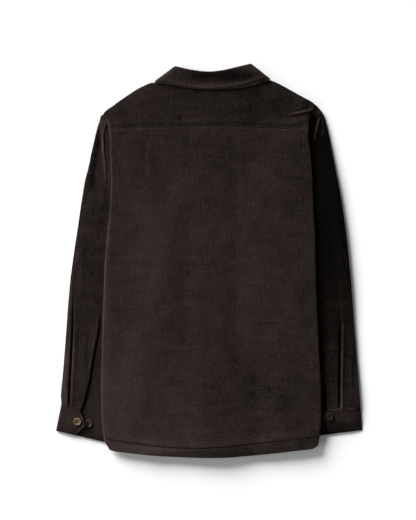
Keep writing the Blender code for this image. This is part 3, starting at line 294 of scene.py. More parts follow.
# %% Tug at corners and edges
NUDGES = {
    # middle x, middle down, moved right, moved down, reach
    "back": [(-202, 748, -0.6, 1.1, 8.0), (222, 739, 0.8, 0.8, 5.0)],
    "front_left": [(-202, 748, -0.6, 1.1, 8.0)],
    "front_right": [(222, 739, 0.8, 0.8, 5.0)],
    "yoke": [(-213, 54, -1.7, -1.3, 11.0), (210, 38, 1.2, -2.0, 15.0)],
    "sleeve_top_left": [
        (-213.5, 75, 4.0, 0.0, 9.0), (-242, 148, -1.6, 0.0, 22.0), (-221, 61, -0.8, -1.4, 6.0),
        (-206, 89, 3.0, 0.0, 6.0),
    ],
    "sleeve_top_right": [
        (222, 44, 1.0, -1.6, 8.0), (217, 40.5, 0.5, -1.4, 5.0), (214, 60, -3.0, 0.0, 6.0),
    ],
    "cuff_left": [(-258, 698, 3.0, 0.5, 8.0), (-305, 656, 0.0, -1.0, 5.0)],
}
TUCKS = {
    # seam line, moved down, reach: a cut edge slips under its neighbour
    "yoke": (YOKE_LINE, 0.5, 2.5),
    "cuff_left": (CUFF_SEAM_LEFT, -0.7, 3.0),
    "cuff_right": (CUFF_SEAM_RIGHT, -0.7, 3.0),
    "sleeve_top_left": (CUFF_SEAM_LEFT, 0.8, 4.0),
    "sleeve_under_left": (CUFF_SEAM_LEFT, 0.8, 4.0),
    "sleeve_top_right": (CUFF_SEAM_RIGHT, 0.8, 4.0),
    "sleeve_under_right": (CUFF_SEAM_RIGHT, 0.8, 4.0),
}
PRESSED_FLAT = {
    # height that is left, reach, line of the edge
    "cuff_left": [(0.5, 10.0, [(-320, 709), (-217, 731.5)])],
    "cuff_right": [(0.35, 13.0, [(215, 717.5), (318, 708)]), (0.5, 9.0, [(311, 664), (317, 708)])],
}


def nudge(piece, points):
    """Press the cuffs' edges, pull corners into place and slip cut edges under their neighbours."""
    x, down = plan_of(points)
    for left, reach, path in PRESSED_FLAT.get(piece, []):
        points[:, 2] *= 1.0 - (1.0 - left) * np.exp(-((along_path(path, x, down)[0] / reach) ** 2))
    for middle, level, right, below, reach in NUDGES.get(piece, []):
        share = np.exp(-((x - middle) ** 2 + (down - level) ** 2) / reach**2)
        points[:, 0] += right * share
        points[:, 1] -= below * share
    if piece in TUCKS:
        path, below, reach = TUCKS[piece]
        points[:, 1] -= below * np.exp(-((along_path(path, x, down)[0] / reach) ** 2))


print(sum(len(rows) for rows in NUDGES.values()), "tugs and", len(TUCKS), "tucked edges")

# %% Put the creases into a piece
CREASED_BETWEEN = {
    # height in mm below which the piece rests and stays flat, height above which it is creased
    "back": (-2.0, -1.0),
    "yoke": (3.0, 7.0),
    "collar_leaf": (1.0, 4.5),
}
CREASED_ELSEWHERE = (1.2, 3.4)


def settle(piece, data):
    """Put the creases into a piece, and leave what rests on the table flat."""
    points = points_of(data)
    nudge(piece, points)
    x, down = plan_of(points)
    height = unevenness(x, down)
    for row in CREASES.get(piece, []):
        height += crease_height(x, down, *row)
    low, high = CREASED_BETWEEN.get(piece, CREASED_ELSEWHERE)
    height *= soft_step((points[:, 2] - low) / (high - low))
    points[:, 2] += height
    data.vertices.foreach_set("co", (points * MM).ravel())
    data.update()
    return height.min(), height.max()


print("most pieces are creased above", CREASED_ELSEWHERE[1], "mm")

# %% [markdown]
# ## Which way the ribs run, and where the pile is painted paler or darker
#
# Corduroy is woven with raised ribs, and each piece is cut with them running in its own
# direction: down the back and the collar, along the sleeves, and round the cuffs. Two numbers are
# stored on every point for the material to read: the distance across the ribs and the distance
# along them. A third makes the pile paler or darker there. A little of it is the pile's own lean,
# but most of it is painted light and shade: painted highlights where a rim, ridge or slope turns
# to the light, and painted shade where the body shades the right sleeve, where the collar and the
# hem's middle turn away, and in slits, pleats, grooves and along edges. It is a short table of soft
# ovals and a second one of thin lines, and it is painted only on the side that faces up.

# %% The direction of the ribs
SLEEVE_GRAIN = {
    "left": ([60, 115, 192, 272, 416, 503, 655, 760], [218, 238, 256, 268, 288, 295, 306, 314]),
    "right": ([40, 106, 152, 260, 387, 503, 662, 760], [217, 248, 257, 277, 291, 300, 312, 318]),
}
CUFF_SLOPE = {"left": (305.0, 656.0, 0.165), "right": (312.0, 662.7, 0.060)}


def grain_of(piece, x, down):
    """Distance across the ribs and along them, in millimetres."""
    side = "left" if x.mean() < 0.0 else "right"
    out = -x if side == "left" else x
    if piece.startswith("cuff"):
        start, level, slope = CUFF_SLOPE[side]
        tilt = math.hypot(1.0, slope)
        across = (down - level - (start - out) * slope) / tilt
        return across, (out + (down - level) * slope) / tilt
    if piece.startswith("sleeve"):
        downs, outs = SLEEVE_GRAIN[side]
        return out - np.interp(down, downs, outs), down
    return x, down


print("sleeve ribs bend over", len(SLEEVE_GRAIN["left"][0]), "stations")

# %% Patches of pile lean and of painted light and shade
# Mostly painted light and shade: the left rim, the lower left and the right sleeve's head get painted
# highlights; the collar, the hem's middle, the right sleeve and the cuff beside the body get painted
# shade.
LEAN_AND_PAINTED_LIGHT = {
    # middle x, middle down, reach across, reach down, shade: paler above 0, darker below
    "back": [
        (-165, 650, 95, 130, 0.32),
        (-214, 420, 10, 340, 0.28),
        (-120, 350, 60, 170, 0.18),
        (150, 660, 70, 90, -0.15),
        (0, 130, 200, 40, -0.06),
        (190, 180, 26, 120, -0.12),
        (-150, 748, 70, 12, 0.50),
        (20, 756, 110, 10, -0.22),
        (195, 440, 24, 130, -0.10),
        (60, 620, 110, 60, -0.06),
        (0, 180, 190, 60, -0.04),
    ],
    "yoke": [
        (0, 30, 260, 60, -0.15),
        (120, 50, 90, 45, -0.19),
        (180, 68, 28, 14, 0.12),
    ],
    "collar_leaf": [
        (20, -22, 75, 15, -0.56),
        (-85, -18, 22, 26, 0.12),
        (0, 4, 120, 7, 0.16),
    ],
    "sleeve_top_left": [
        (-262, 400, 40, 260, -0.16),
        (-290, 620, 20, 60, 0.10),
        (-272, 560, 30, 80, 0.10),
    ],
    "sleeve_top_right": [
        (246, 230, 56, 240, -0.88),
        (222, 50, 13, 11, 0.95),
        (280, 210, 9, 120, 0.25),
        (260, 560, 70, 150, -0.20),
    ],
    "sleeve_under_right": [(230, 300, 60, 300, -0.60)],
    "cuff_left": [(-285, 690, 40, 30, 0.18), (-235, 712, 26, 14, 0.14)],
    "cuff_right": [(260, 700, 60, 50, -0.11), (226, 695, 9, 60, -0.40)],
}
# These ovals are pile lean and painted light and shade.
print(sum(len(rows) for rows in LEAN_AND_PAINTED_LIGHT.values()), "patches of brushed pile")

# %% Painted highlights and shadows along lines
PAINTED_HIGHLIGHT_AND_SHADOW_LINES = {
    # Pale lines are painted highlights on ridges and rims, and a few lighten shade that the folds
    # cast themselves. Dark lines are painted shadows in the hem groove, slits, pleats, seams, beside
    # the body and under the cuffs' and collar's edges.
    # paler or darker, width, share of the length to start over, share to end over, line
    "back": [
        (-0.15, 1.5, 0.02, 0.10, HEM_LINE),
        (-0.15, 1.5, 0.02, 0.70, HEM_LINE),
        (0.42, 2.2, 0.05, 0.60, moved(HEM_LINE, below=-3.6)),
        (0.16, 1.3, 0.02, 0.02, moved(YOKE_LINE, below=1.4)),
        (0.28, 2.2, 0.00, 0.50, [(-204, 91), (-206, 124), (-203, 166), (-204, 213)]),
    ],
    "yoke": [
        (0.40, 2.0, 0.20, 0.00, [(-213, 62), (-211.4, 66), (-207.2, 77), (-204, 91)]),
        (-0.12, 4.0, 0.05, 0.05, moved(YOKE_LINE, below=-7.0)),
        (0.50, 1.8, 0.15, 0.40, [(221, 46.5), (204, 51.7), (184, 56), (162, 60)]),
        (-0.25, 3.0, 0.15, 0.40, [(221, 52), (204, 57), (184, 61), (162, 64)]),
        (-0.30, 1.6, 0.30, 0.30, [(-65, 59), (-61, 67), (-57, 76)]),
    ],
    "collar_leaf": [(-0.25, 1.4, 0.30, 0.05, moved(COLLAR_EDGE, below=-1.0))],
    "sleeve_top_left": [
        (0.60, 3.4, 0.05, 0.60, [
            (-221.7, 66), (-223.4, 81), (-221.7, 107), (-217.5, 141), (-213.4, 174), (-210, 207),
            (-206, 240)]),
        (0.30, 4.5, 0.10, 0.30, [(-213, 84), (-211, 120), (-208, 180), (-207, 240)]),
        (0.40, 2.2, 0.20, 0.30, [(-219.5, 100), (-214.5, 141), (-210, 180), (-206.5, 220)]),
        (-0.45, 8.0, 0.10, 0.35, [(-225, 82), (-232, 132), (-241, 178), (-249, 245)]),
        (-0.95, 1.7, 0.55, 0.00, SLEEVE_SEAM_LEFT),
        (-1.60, 1.5, 0.05, 0.00, SLIT_LEFT),
        (-0.80, 1.3, 0.40, 0.05, PLEAT_LEFT),
        (0.35, 1.5, 0.40, 0.05, moved(PLEAT_LEFT, right=-3.5)),
    ],
    "sleeve_under_left": [
        (-0.95, 1.7, 0.55, 0.00, SLEEVE_SEAM_LEFT),
        (-1.20, 2.4, 0.05, 0.00, SLIT_LEFT),
    ],
    "sleeve_top_right": [
        (-0.80, 7.0, 0.05, 0.20, [(211, 60), (212, 100), (212, 140), (215, 170)]),
        (1.10, 2.0, 0.10, 0.40, [(230, 61), (223.7, 77), (218.6, 97), (215.5, 124), (215, 140)]),
        (0.50, 1.2, 0.15, 0.30, [(234, 55), (234, 84), (233.6, 112)]),
        (-0.40, 9.0, 0.00, 0.00, [(211, 100), (216, 200), (222, 320), (228, 480), (232, 665)]),
        (-0.70, 1.4, 0.40, 0.05, PLEAT_RIGHT),
        (0.55, 1.4, 0.40, 0.00, moved(PLEAT_RIGHT, right=4.6)),
        (-1.00, 2.0, 0.10, 0.00, SLIT_RIGHT),
    ],
    "sleeve_under_right": [(-1.00, 2.4, 0.10, 0.00, SLIT_RIGHT)],
    "cuff_left": [
        (-1.60, 1.2, 0.00, 0.05, TAB_LEFT),
        (-0.30, 3.0, 0.20, 0.40, [(-256, 666), (-229, 670.5)]),
        (-0.35, 1.3, 0.05, 0.05, [(-315, 709), (-217, 731)]),
    ],
    "cuff_right": [
        (0.20, 1.8, 0.05, 0.05, [(240, 665.5), (311, 664)]),
        (-0.20, 1.5, 0.05, 0.05, [(240, 670.5), (311, 669)]),
        (-0.80, 1.7, 0.00, 0.05, TAB_RIGHT),
        (-0.80, 1.4, 0.05, 0.20, [(229, 716), (315, 707.5)]),
    ],
}
print(sum(len(rows) for rows in PAINTED_HIGHLIGHT_AND_SHADOW_LINES.values()), "paler or darker lines")

# %% Store the grain, and the lean with its painted light and shade
# The lean and the painted light and shade fade in as a point's normal turns up from one to the other.
FACES_UP = (-0.3, -0.1)  # the lean fades in as a point's normal turns up from one to the other


def lean_and_painted_light_of(piece, x, down):
    """How pale the pile is painted, from below 0 to above 0: a little lean, mostly painted light and
    shade.
    """
    lean = np.zeros(len(x))
    for middle, level, across, lengthways, shade in LEAN_AND_PAINTED_LIGHT.get(piece, []):
        lean += shade * np.exp(-(((x - middle) / across) ** 2) - ((down - level) / lengthways) ** 2)
    for shade, width, start, end, path in PAINTED_HIGHLIGHT_AND_SHADOW_LINES.get(piece, []):
        lean += crease_height(x, down, shade, width, 0.0, start, end, path)
    return lean


def store_grain(piece, data):
    """Write the grain, in metres, and the lean with its painted light and shade, on what faces up, to
    the mesh as attributes.
    """
    x, down = plan_of(points_of(data))
    across, along = grain_of(piece, x, down)
    facing = np.array([v.normal.z for v in data.vertices])
    low, high = FACES_UP
    lean = lean_and_painted_light_of(piece, x, down) * np.clip((facing - low) / (high - low), 0.0, 1.0)
    stored = {"across_ribs": across * MM, "along_ribs": along * MM, "lean": lean}
    for name, values in stored.items():
        layer = data.attributes.new(name, "FLOAT", "POINT")
        layer.data.foreach_set("value", values.astype(np.float32))


middle_lean_and_painted_light = lean_and_painted_light_of("back", np.zeros(1), np.full(1, 180.0))[0]
print("lean at the middle of the upper back:", middle_lean_and_painted_light.round(2))

# %% [markdown]
# ## From plain wall to cloth
#
# Every piece is a thin wall of a few hundred faces. Subdivision makes it smooth, but on its own it
# would also shrink the cut edges, so these are creased and keep their place. Long faces are cut
# into even cells first, because soft creases need points to live on, and along the narrow creases
# the mesh is cut once more. Then the cut edges get a small bevel: a folded corduroy edge is never
# knife-sharp. Once the creases are in, each mesh is thinned where it is flat, which keeps the whole
# garment light enough to handle.

# %% Hold the cut edges and cut long faces up
SHARP = math.radians(55)
SOFT = math.radians(20)
FOLD_HOLD = 0.6
CORNER_TURN = math.radians(24)
CORNER_HOLD = 0.8
CELL = 30 * MM
ON_THE_CUT = 2 * MM


def cut_edges(mesh):
    """Edges where the wall's face meets its thickness."""
    return [e for e in mesh.edges if len(e.link_faces) == 2 and e.calc_face_angle() > SHARP]


def hold_edges(mesh):
    """Keep cut edges and the corners of their outline, and soften sharp folds only a little."""
    held = mesh.edges.layers.float.new("crease_edge")
    corners = mesh.verts.layers.float.new("crease_vert")
    for edge in mesh.edges:
        if len(edge.link_faces) == 2:
            turn = edge.calc_face_angle()
            edge[held] = 1.0 if turn > SHARP else FOLD_HOLD * max(0.0, (turn - SOFT) / (SHARP - SOFT))
    for vert in mesh.verts:
        rim = [e for e in vert.link_edges if e[held] == 1.0]
        if len(rim) == 2:
            first, second = (e.other_vert(vert).co - vert.co for e in rim)
            if first.length and second.length and first.angle(-second) > CORNER_TURN:
                vert[corners] = CORNER_HOLD


def even_cells(mesh, node):
    """Cut long faces along lines of a square grid."""
    low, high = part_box(node)
    for axis in (0, 1):
        direction = [0.0, 0.0, 0.0]
        direction[axis] = 1.0
        for step in range(math.ceil(low[axis] / CELL), math.ceil(high[axis] / CELL)):
            place = [value * step * CELL for value in direction]
            bmesh.ops.bisect_plane(
                mesh, geom=mesh.verts[:] + mesh.edges[:] + mesh.faces[:], dist=ON_THE_CUT,
                plane_co=place, plane_no=direction)


print("cells of", CELL / MM, "mm before smoothing")

# %% Cut the mesh once more along narrow creases
NARROW = 3.5
NEAR_A_CREASE = 7.0
NEAR_A_LINE = 5.0
SHORTEST = 1.3 * MM


def finer_by_creases(mesh, node):
    """Halve the edges that lie close to a narrow crease."""
    points = np.array([v.co for v in mesh.verts]) / MM
    x, down = plan_of(points)
    near = np.zeros(len(points), dtype=bool)
    for row in CREASES.get(node, []):
        if row[1] < NARROW:
            near |= np.abs(along_path(row[-1], x, down)[0]) < NEAR_A_CREASE
    for row in PAINTED_HIGHLIGHT_AND_SHADOW_LINES.get(node, []):
        near |= np.abs(along_path(row[-1], x, down)[0]) < NEAR_A_LINE
    mesh.verts.index_update()
    edges = [
        e for e in mesh.edges
        if near[e.verts[0].index] and near[e.verts[1].index] and e.calc_length() > SHORTEST
    ]
    bmesh.ops.subdivide_edges(mesh, edges=edges, cuts=1, use_grid_fill=True)


print("edges are halved within", NEAR_A_CREASE, "mm of a crease narrower than", NARROW, "mm")

# %% Make one finer, rounder wall
SAME_POINT = 0.002 * MM
ONE_FACE = math.radians(50)
EDGE_ROUNDING = 0.55 * MM


def as_modified(name, data, kind, **settings):
    """A copy of a mesh as one modifier leaves it. The mesh itself is removed."""
    carrier = bpy.data.objects.new(name + "_carrier", data)
    bpy.context.scene.collection.objects.link(carrier)
    change = carrier.modifiers.new("change", kind)
    for setting, value in settings.items():
        setattr(change, setting, value)
    graph = bpy.context.evaluated_depsgraph_get()
    made = bpy.data.meshes.new_from_object(carrier.evaluated_get(graph))
    bpy.data.objects.remove(carrier)
    bpy.data.meshes.remove(data)
    made.name = name
    return made


def finer_wall(node, levels):
    """Mesh of a node's wall, smoothed, with its cut edges held and then rounded."""
    mesh = bmesh.new()
    mesh.from_mesh(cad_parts[node].data)
    bmesh.ops.remove_doubles(mesh, verts=mesh.verts, dist=SAME_POINT)
    bmesh.ops.join_triangles(
        mesh, faces=mesh.faces[:],
        angle_face_threshold=ONE_FACE, angle_shape_threshold=math.pi,
    )
    even_cells(mesh, node)
    hold_edges(mesh)
    data = bpy.data.meshes.new(node + "_cloth")
    mesh.to_mesh(data)
    mesh.free()
    finer = as_modified(node + "_cloth", data, "SUBSURF", levels=levels, render_levels=levels)
    mesh = bmesh.new()
    mesh.from_mesh(finer)
    bmesh.ops.bevel(
        mesh, geom=cut_edges(mesh), offset=EDGE_ROUNDING, segments=2, profile=0.5,
        affect="EDGES", clamp_overlap=True,
    )
    finer_by_creases(mesh, node)
    bmesh.ops.recalc_face_normals(mesh, faces=mesh.faces)
    mesh.to_mesh(finer)
    mesh.free()
    return finer


test = finer_wall("collar_stand", 1)
print("the stand's wall after one round of smoothing:", len(test.polygons), "faces")

# %% Thin the mesh where it is flat
KEPT_SHARE = 0.55
MOST_TRIANGLES = 180_000


def triangles_in(data):
    """How many triangles a mesh's faces come to."""
    return sum(len(p.vertices) - 2 for p in data.polygons)


def in_order(data):
    """The same mesh, its points and faces in an order that follows from their places alone."""
    name = data.name
    points = points_of(data)
    order = np.lexsort(points.T)
    rank = np.argsort(order).tolist()
    faces = []
    for polygon in data.polygons:
        corners = [rank[point] for point in polygon.vertices]
        first = corners.index(min(corners))
        faces.append(corners[first:] + corners[:first])
    bpy.data.meshes.remove(data)
    made = bpy.data.meshes.new(name)
    made.from_pydata(points[order] * MM, [], sorted(faces))
    return made


def thinned(data):
    """The same surface with fewer triangles, and the same ones each time the lesson is run."""
    data = in_order(data)
    share = min(KEPT_SHARE, MOST_TRIANGLES / triangles_in(data))
    return as_modified(data.name, data, "DECIMATE", ratio=share)


test = thinned(test)
print("and after thinning:", triangles_in(test), "triangles")
bpy.data.meshes.remove(test)

# %% [markdown]
# ## Shader sums as plain arithmetic
#
# A material is a chain of small sums. The class below wraps a socket, so that the sums can be
# written as ordinary Python and each operator adds its own Math node.

# %% One class for shader sums
class Value:
    """A number that varies over the surface."""

    def __init__(self, recipe, socket):
        self.recipe = recipe
        self.socket = socket

    def _sum(self, operation, *terms):
        made = self.recipe.node("ShaderNodeMath", {"operation": operation}, *terms)
        return Value(self.recipe, made.outputs[0])

    def __add__(self, other):
        return self._sum("ADD", self, other)

    __radd__ = __add__

    def __mul__(self, other):
        return self._sum("MULTIPLY", self, other)

    __rmul__ = __mul__

    def __sub__(self, other):
        return self._sum("SUBTRACT", self, other)

    def __rsub__(self, other):
        return self._sum("SUBTRACT", other, self)

    def __truediv__(self, other):
        return self._sum("DIVIDE", self, other)

    def __pow__(self, other):
        return self._sum("POWER", self, other)

    def __abs__(self):
        return self._sum("ABSOLUTE", self)

    def floor(self):
        return self._sum("FLOOR", self)

    def sine(self):
        return self._sum("SINE", self)

    def kept(self, low=0.0, high=1.0):
        """0 below a limit, 1 above another, smooth between."""
        made = self.recipe.node(
            "ShaderNodeMapRange", {"interpolation_type": "SMOOTHSTEP"},
            Value=self, **{"From Min": low, "From Max": high})
        return Value(self.recipe, made.outputs[0])


print("a Value knows", sum(name.startswith("__") for name in vars(Value)), "special names")

# %% One class for a material
class Recipe:
    """One material's nodes."""

    def __init__(self, name):
        self.material = bpy.data.materials.new(name)
        self.material.use_nodes = True
        self.tree = self.material.node_tree
        self.shader = self.tree.nodes["Principled BSDF"]

    def node(self, kind, settings=None, *values, **named):
        """Add a node: its settings first, then the values or links of its sockets."""
        made = self.tree.nodes.new(kind)
        for name, setting in (settings or {}).items():
            setattr(made, name, setting)
        for place, value in [*enumerate(values), *named.items()]:
            self.join(value, made.inputs[place])
        return made

    def join(self, value, socket):
        """Link a socket to another, or give it a number, colour or vector."""
        if isinstance(value, Value):
            value = value.socket
        if isinstance(value, bpy.types.NodeSocket):
            self.tree.links.new(value, socket)
        else:
            socket.default_value = value

    def stored(self, name):
        """A number stored on the mesh."""
        made = self.node("ShaderNodeAttribute", {"attribute_name": name})
        return Value(self, made.outputs["Fac"])

    def place(self, x, y):
        """A point in the plane of the cloth."""
        return self.node("ShaderNodeCombineXYZ", None, x, y, 0.0).outputs[0]

    def noise(self, vector, scale, detail=2.0, roughness=0.5):
        """Cloudy noise between 0 and 1."""
        made = self.node(
            "ShaderNodeTexNoise", None, Vector=vector, Scale=scale, Detail=detail,
            Roughness=roughness)
        return Value(self, made.outputs["Fac"])

    def blend(self, share, first, second):
        """Mix two colours."""
        made = self.node("ShaderNodeMix", {"data_type": "RGBA"})
        self.join(share, made.inputs[0])
        self.join(first, made.inputs[6])
        self.join(second, made.inputs[7])
        return made.outputs[2]

    def bump(self, height, distance):
        """Turn a height into a slope of the surface."""
        made = self.node("ShaderNodeBump", None, Strength=1.0, Distance=distance, Height=height)
        return made.outputs["Normal"]

    def finish(self, **sockets):
        """Feed the surface and hand over the material."""
        for name, value in sockets.items():
            self.join(value, self.shader.inputs[name.replace("_", " ")])
        return self.material


print("a Recipe offers", ", ".join(name for name in vars(Recipe) if not name.startswith("_")))

# %% [markdown]
# ## Corduroy
#
# Close up, corduroy is a row of round ribs of cut pile with narrow grooves where the plain ground
# shows. Single ribs and short stretches of them come out a shade lighter or darker, which the eye
# reads as fine streaks. All of that depends on the stored numbers, so the ribs follow each piece's
# cut. A picture of cloth could be wrapped round it instead, but would stretch at the folds.
# Cut pile swallows light, so the surface is rough and hardly shines.

# %% Weave the corduroy
RIB = 2.0 * MM
RIB_HEIGHT = 0.45 * MM
PILE_LIGHT = (0.0480, 0.0335, 0.0305, 1.0)
# The darkest pile, reached where shade is painted deep.
PILE_DARK = (0.0013, 0.0010, 0.0007, 1.0)
GROUND = (0.0070, 0.0047, 0.0040, 1.0)
MIDDLE_SHADE = 0.41


def corduroy(name):
    """Ribs of pile, paler and darker by the lean with its painted light and shade, by streaks and by
    single tufts.
    """
    weave = Recipe(name)
    across = weave.stored("across_ribs")
    along = weave.stored("along_ribs")
    spot = weave.node("ShaderNodeTexCoord").outputs["Object"]
    ribs = across / RIB + weave.noise(weave.place(across, along), 9.0, 1.0) * 0.8
    round_rib = abs((ribs * math.pi).sine()) ** 0.7
    streak = weave.noise(weave.place(across * 230.0, along * 22.0), 1.0, 3.0, 0.7) - 0.5
    single = weave.noise(weave.place(ribs.floor() * 7.31, along * 60.0), 1.0, 2.0) - 0.5
    brushed = weave.noise(spot, 17.0, 5.0, 0.7) - 0.5
    fleck = weave.noise(weave.place(across * 1.3, along * 0.8), 260.0, 2.0, 0.75) - 0.5
    crushed = weave.noise(weave.place(across * 16.0, along * 70.0), 1.0, 3.0, 0.6) - 0.5
    tuft = weave.noise(weave.place(across * 2.6, along), 1500.0, 2.0, 0.7) - 0.5
    change = streak * 0.45 + single * 0.48 + brushed * 0.50
    change = change + fleck * 1.05 + tuft * 0.25 + crushed * 0.38
    # The stored number paints highlights and shade onto the pile, besides its lean.
    shade = MIDDLE_SHADE + weave.stored("lean") + change
    pile = weave.blend(shade.kept(-0.25, 1.25), PILE_DARK, PILE_LIGHT)
    # Where painted shade runs deep, the grooves darken to the same dark.
    ground = weave.blend(shade.kept(0.0, 0.3) / 0.3, PILE_DARK, GROUND)
    colour = weave.blend(round_rib.kept(0.10, 0.70), ground, pile)
    surface = round_rib * 0.8 + tuft * 0.3 + fleck * 0.3 + streak * 0.2
    return weave.finish(
        Base_Color=colour, Roughness=0.92, Normal=weave.bump(surface, RIB_HEIGHT),
        Sheen_Weight=0.02, Sheen_Roughness=0.5, Sheen_Tint=(1.0, 0.85, 0.76, 1.0),
        Specular_IOR_Level=0.02,
    )


CORDUROY = corduroy("corduroy")
print("corduroy ribs every", RIB / MM, "mm,", len(CORDUROY.node_tree.nodes), "nodes")

# %% [markdown]
# ## The cloth pieces
#
# The pieces that show get one more round of subdivision than those that lie underneath. Each is
# declared at the end as a sheet of cloth with the size that it was cut to.

# %% Make every panel
PANELS = {
    # node: levels, cut width and length in metres, cut area in square metres, rests on
    "back": (3, (0.47, 0.68), 0.306, ["front_left", "front_right", "sleeve_top_left"]),
    "yoke": (3, (0.47, 0.14), 0.047, ["front_left", "front_right", "collar_stand"]),
    "front_left": (2, (0.24, 0.755), 0.159, ["table"]),
    "front_right": (2, (0.24, 0.755), 0.158, ["table"]),
    "collar_leaf": (3, (0.50, 0.062), 0.026, ["collar_stand"]),
    "collar_stand": (2, (0.46, 0.040), 0.0165, ["collar_leaf"]),
    "sleeve_top_left": (3, (0.27, 0.60), 0.123, ["table"]),
    "sleeve_top_right": (3, (0.27, 0.60), 0.134, ["table"]),
    "sleeve_under_left": (2, (0.15, 0.45), 0.048, ["sleeve_top_left"]),
    "sleeve_under_right": (2, (0.15, 0.45), 0.042, ["sleeve_top_right"]),
    "cuff_left": (3, (0.27, 0.058), 0.0149, ["table"]),
    "cuff_right": (3, (0.27, 0.058), 0.0138, ["table"]),
}


def show(name, data, material):
    """An object that rides with the garment."""
    data.materials.clear()
    data.materials.append(material)
    piece = bpy.data.objects.new(name, data)
    bpy.context.scene.collection.objects.link(piece)
    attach(piece, "root")
    return piece


def make_panel(node, levels):
    """Cloth for one node, in place of its plain wall."""
    data = finer_wall(node, levels)
    low, high = settle(node, data)
    data = thinned(data)
    store_grain(node, data)
    data.shade_smooth()
    piece = show(node + "_cloth", data, CORDUROY)
    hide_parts(node)
    print(f"{node}: {triangles_in(data)} triangles, creases {low:.1f} to {high:.1f} mm")
    return piece


CLOTH = {node: make_panel(node, row[0]) for node, row in PANELS.items()}

# %% [markdown]
# ## Sewing thread
#
# Topstitching is a row of short bridges of thread that sink into the cloth at both ends. Every
# stitch is a little bent tube, laid on the cloth with a ray that looks for the surface under it.
# Painting the rows would be quicker, but painted stitches cast no shadow.

# %% Lay a tube through points
def circle(radius, sides):
    """Points round a circle."""
    angles = [math.tau * step / sides for step in range(sides)]
    return [Vector((radius * math.cos(angle), radius * math.sin(angle), 0.0)) for angle in angles]


def skin(mesh, rings):
    """Faces between rings of points, closed at both ends."""
    for low, high in zip(rings, rings[1:]):
        for step in range(len(low)):
            after = (step + 1) % len(low)
            mesh.faces.new((low[step], low[after], high[after], high[step]))
    mesh.faces.new(rings[0][::-1])
    mesh.faces.new(rings[-1])


def tube(mesh, points, radius, sides):
    """A closed tube through a short list of points."""
    points = [Vector(point) for point in points]
    rings = []
    for place, point in enumerate(points):
        ahead = points[min(place + 1, len(points) - 1)] - points[max(place - 1, 0)]
        turn = ahead.to_track_quat("Z", "Y")
        rings.append([mesh.verts.new(point + turn @ spoke) for spoke in circle(radius, sides)])
    skin(mesh, rings)


test = bmesh.new()
tube(test, [(0, 0, 0), (0, 0, 1)], 0.1, 6)
print("a short tube has", len(test.faces), "faces")
test.free()

# %% Find the cloth and bend thread
THREAD = 0.27 * MM
STITCH = 2.9  # along a line, which is in millimetres
STITCH_GAP = 0.7
PRESSED_IN = 0.15 * MM
PROUD = 0.11 * MM
STITCH_SHAPE = {0.0: -PRESSED_IN, 0.25: PROUD, 0.75: PROUD, 1.0: -PRESSED_IN}
RAY_FROM = 50 * MM


def castable(data):
    """A mesh as something to cast rays at."""
    return BVHTree.FromPolygons([v.co for v in data.vertices], [p.vertices for p in data.polygons])


SURFACE = {node: castable(piece.data) for node, piece in CLOTH.items()}


def seat(node, x, down, side):
    """The point of the cloth above or under a place in plan."""
    way = -1.0 if side == "top" else 1.0
    start = Vector((x * MM, NAPE_Y - down * MM, -way * RAY_FROM))
    return SURFACE[node].ray_cast(start, Vector((0.0, 0.0, way)))[0]


def sew(mesh, node, side, path):
    """One row of stitches along a line."""
    path = np.array(path, dtype=float)
    lengths = np.concatenate([[0.0], np.cumsum(np.linalg.norm(np.diff(path, axis=0), axis=1))])
    out = 1.0 if side == "top" else -1.0
    made = 0
    for start in np.arange(0.0, lengths[-1] - STITCH, STITCH + STITCH_GAP):
        places = start + STITCH * np.array(list(STITCH_SHAPE))
        plan = zip(*(np.interp(places, lengths, path[:, axis]) for axis in (0, 1)))
        seats = [seat(node, x, down, side) for x, down in plan]
        if any(point is None for point in seats):
            continue
        for point, lift in zip(seats, STITCH_SHAPE.values()):
            point.z += out * lift
        tube(mesh, seats, THREAD, 5)
        made += 1
    return made


print("one stitch every", round(STITCH + STITCH_GAP, 1), "mm")

# %% Sew rows of stitches
ROWS = {
    # node: which side of it shows the row, lines
    "back": ("top", [moved(HEM_LINE, below=0.6)]),
    "yoke": ("top", [moved(YOKE_LINE, below=-4.5), [(-25, 18.5), (8, 18.5)]]),
    "collar_leaf": ("top", [moved(COLLAR_EDGE, below=-8.5)]),
    "front_left": ("under", [
        [(-24, 60), (-24, 745)], [(13, 60), (13, 745)], [(-200, 735), (-130, 744), (-24, 750)]]),
    "front_right": ("under", [[(216, 732), (130, 742), (16, 749)]]),
}


def sewing_thread(name, colour, dark):
    """Twisted cotton: two tones that change in fine specks, as the twist turns."""
    thread = Recipe(name)
    spot = thread.node("ShaderNodeTexCoord").outputs["Object"]
    twist = thread.noise(spot, 2600.0, 1.0)
    wear = thread.noise(spot, 60.0, 2.0)
    tone = (twist * 0.6 + wear * 0.5).kept(0.25, 0.85)
    return thread.finish(
        Base_Color=thread.blend(tone, dark, colour), Roughness=0.75,
        Normal=thread.bump(twist, 0.1 * MM), Specular_IOR_Level=0.1,
    )


THREAD_BROWN = sewing_thread(
    "brown_thread", (0.030, 0.022, 0.0190, 1.0), (0.013, 0.0095, 0.008, 1.0))
for node, (side, lines) in ROWS.items():
    rows = bmesh.new()
    count = sum(sew(rows, node, side, line) for line in lines)
    data = bpy.data.meshes.new(node + "_stitches")
    rows.to_mesh(data)
    rows.free()
    data.shade_smooth()
    show(node + "_stitches", data, THREAD_BROWN)
    print(f"{node}: {count} stitches")

# %% [markdown]
# ## Horn buttons
#
# The buttons are turned like small plates: a flat back, a round rim and a dished middle with four
# holes. So a profile is spun round an axis, the holes are cut with a boolean, and thread crosses
# from hole to hole and goes down to the cloth. One mesh serves all of them. Each button has its own
# number for how dark it is: on the right cuff, whose buttons lie in the body's shade, it is painted
# shade. Cast resin would be simpler to copy, but it has no grain like horn's.

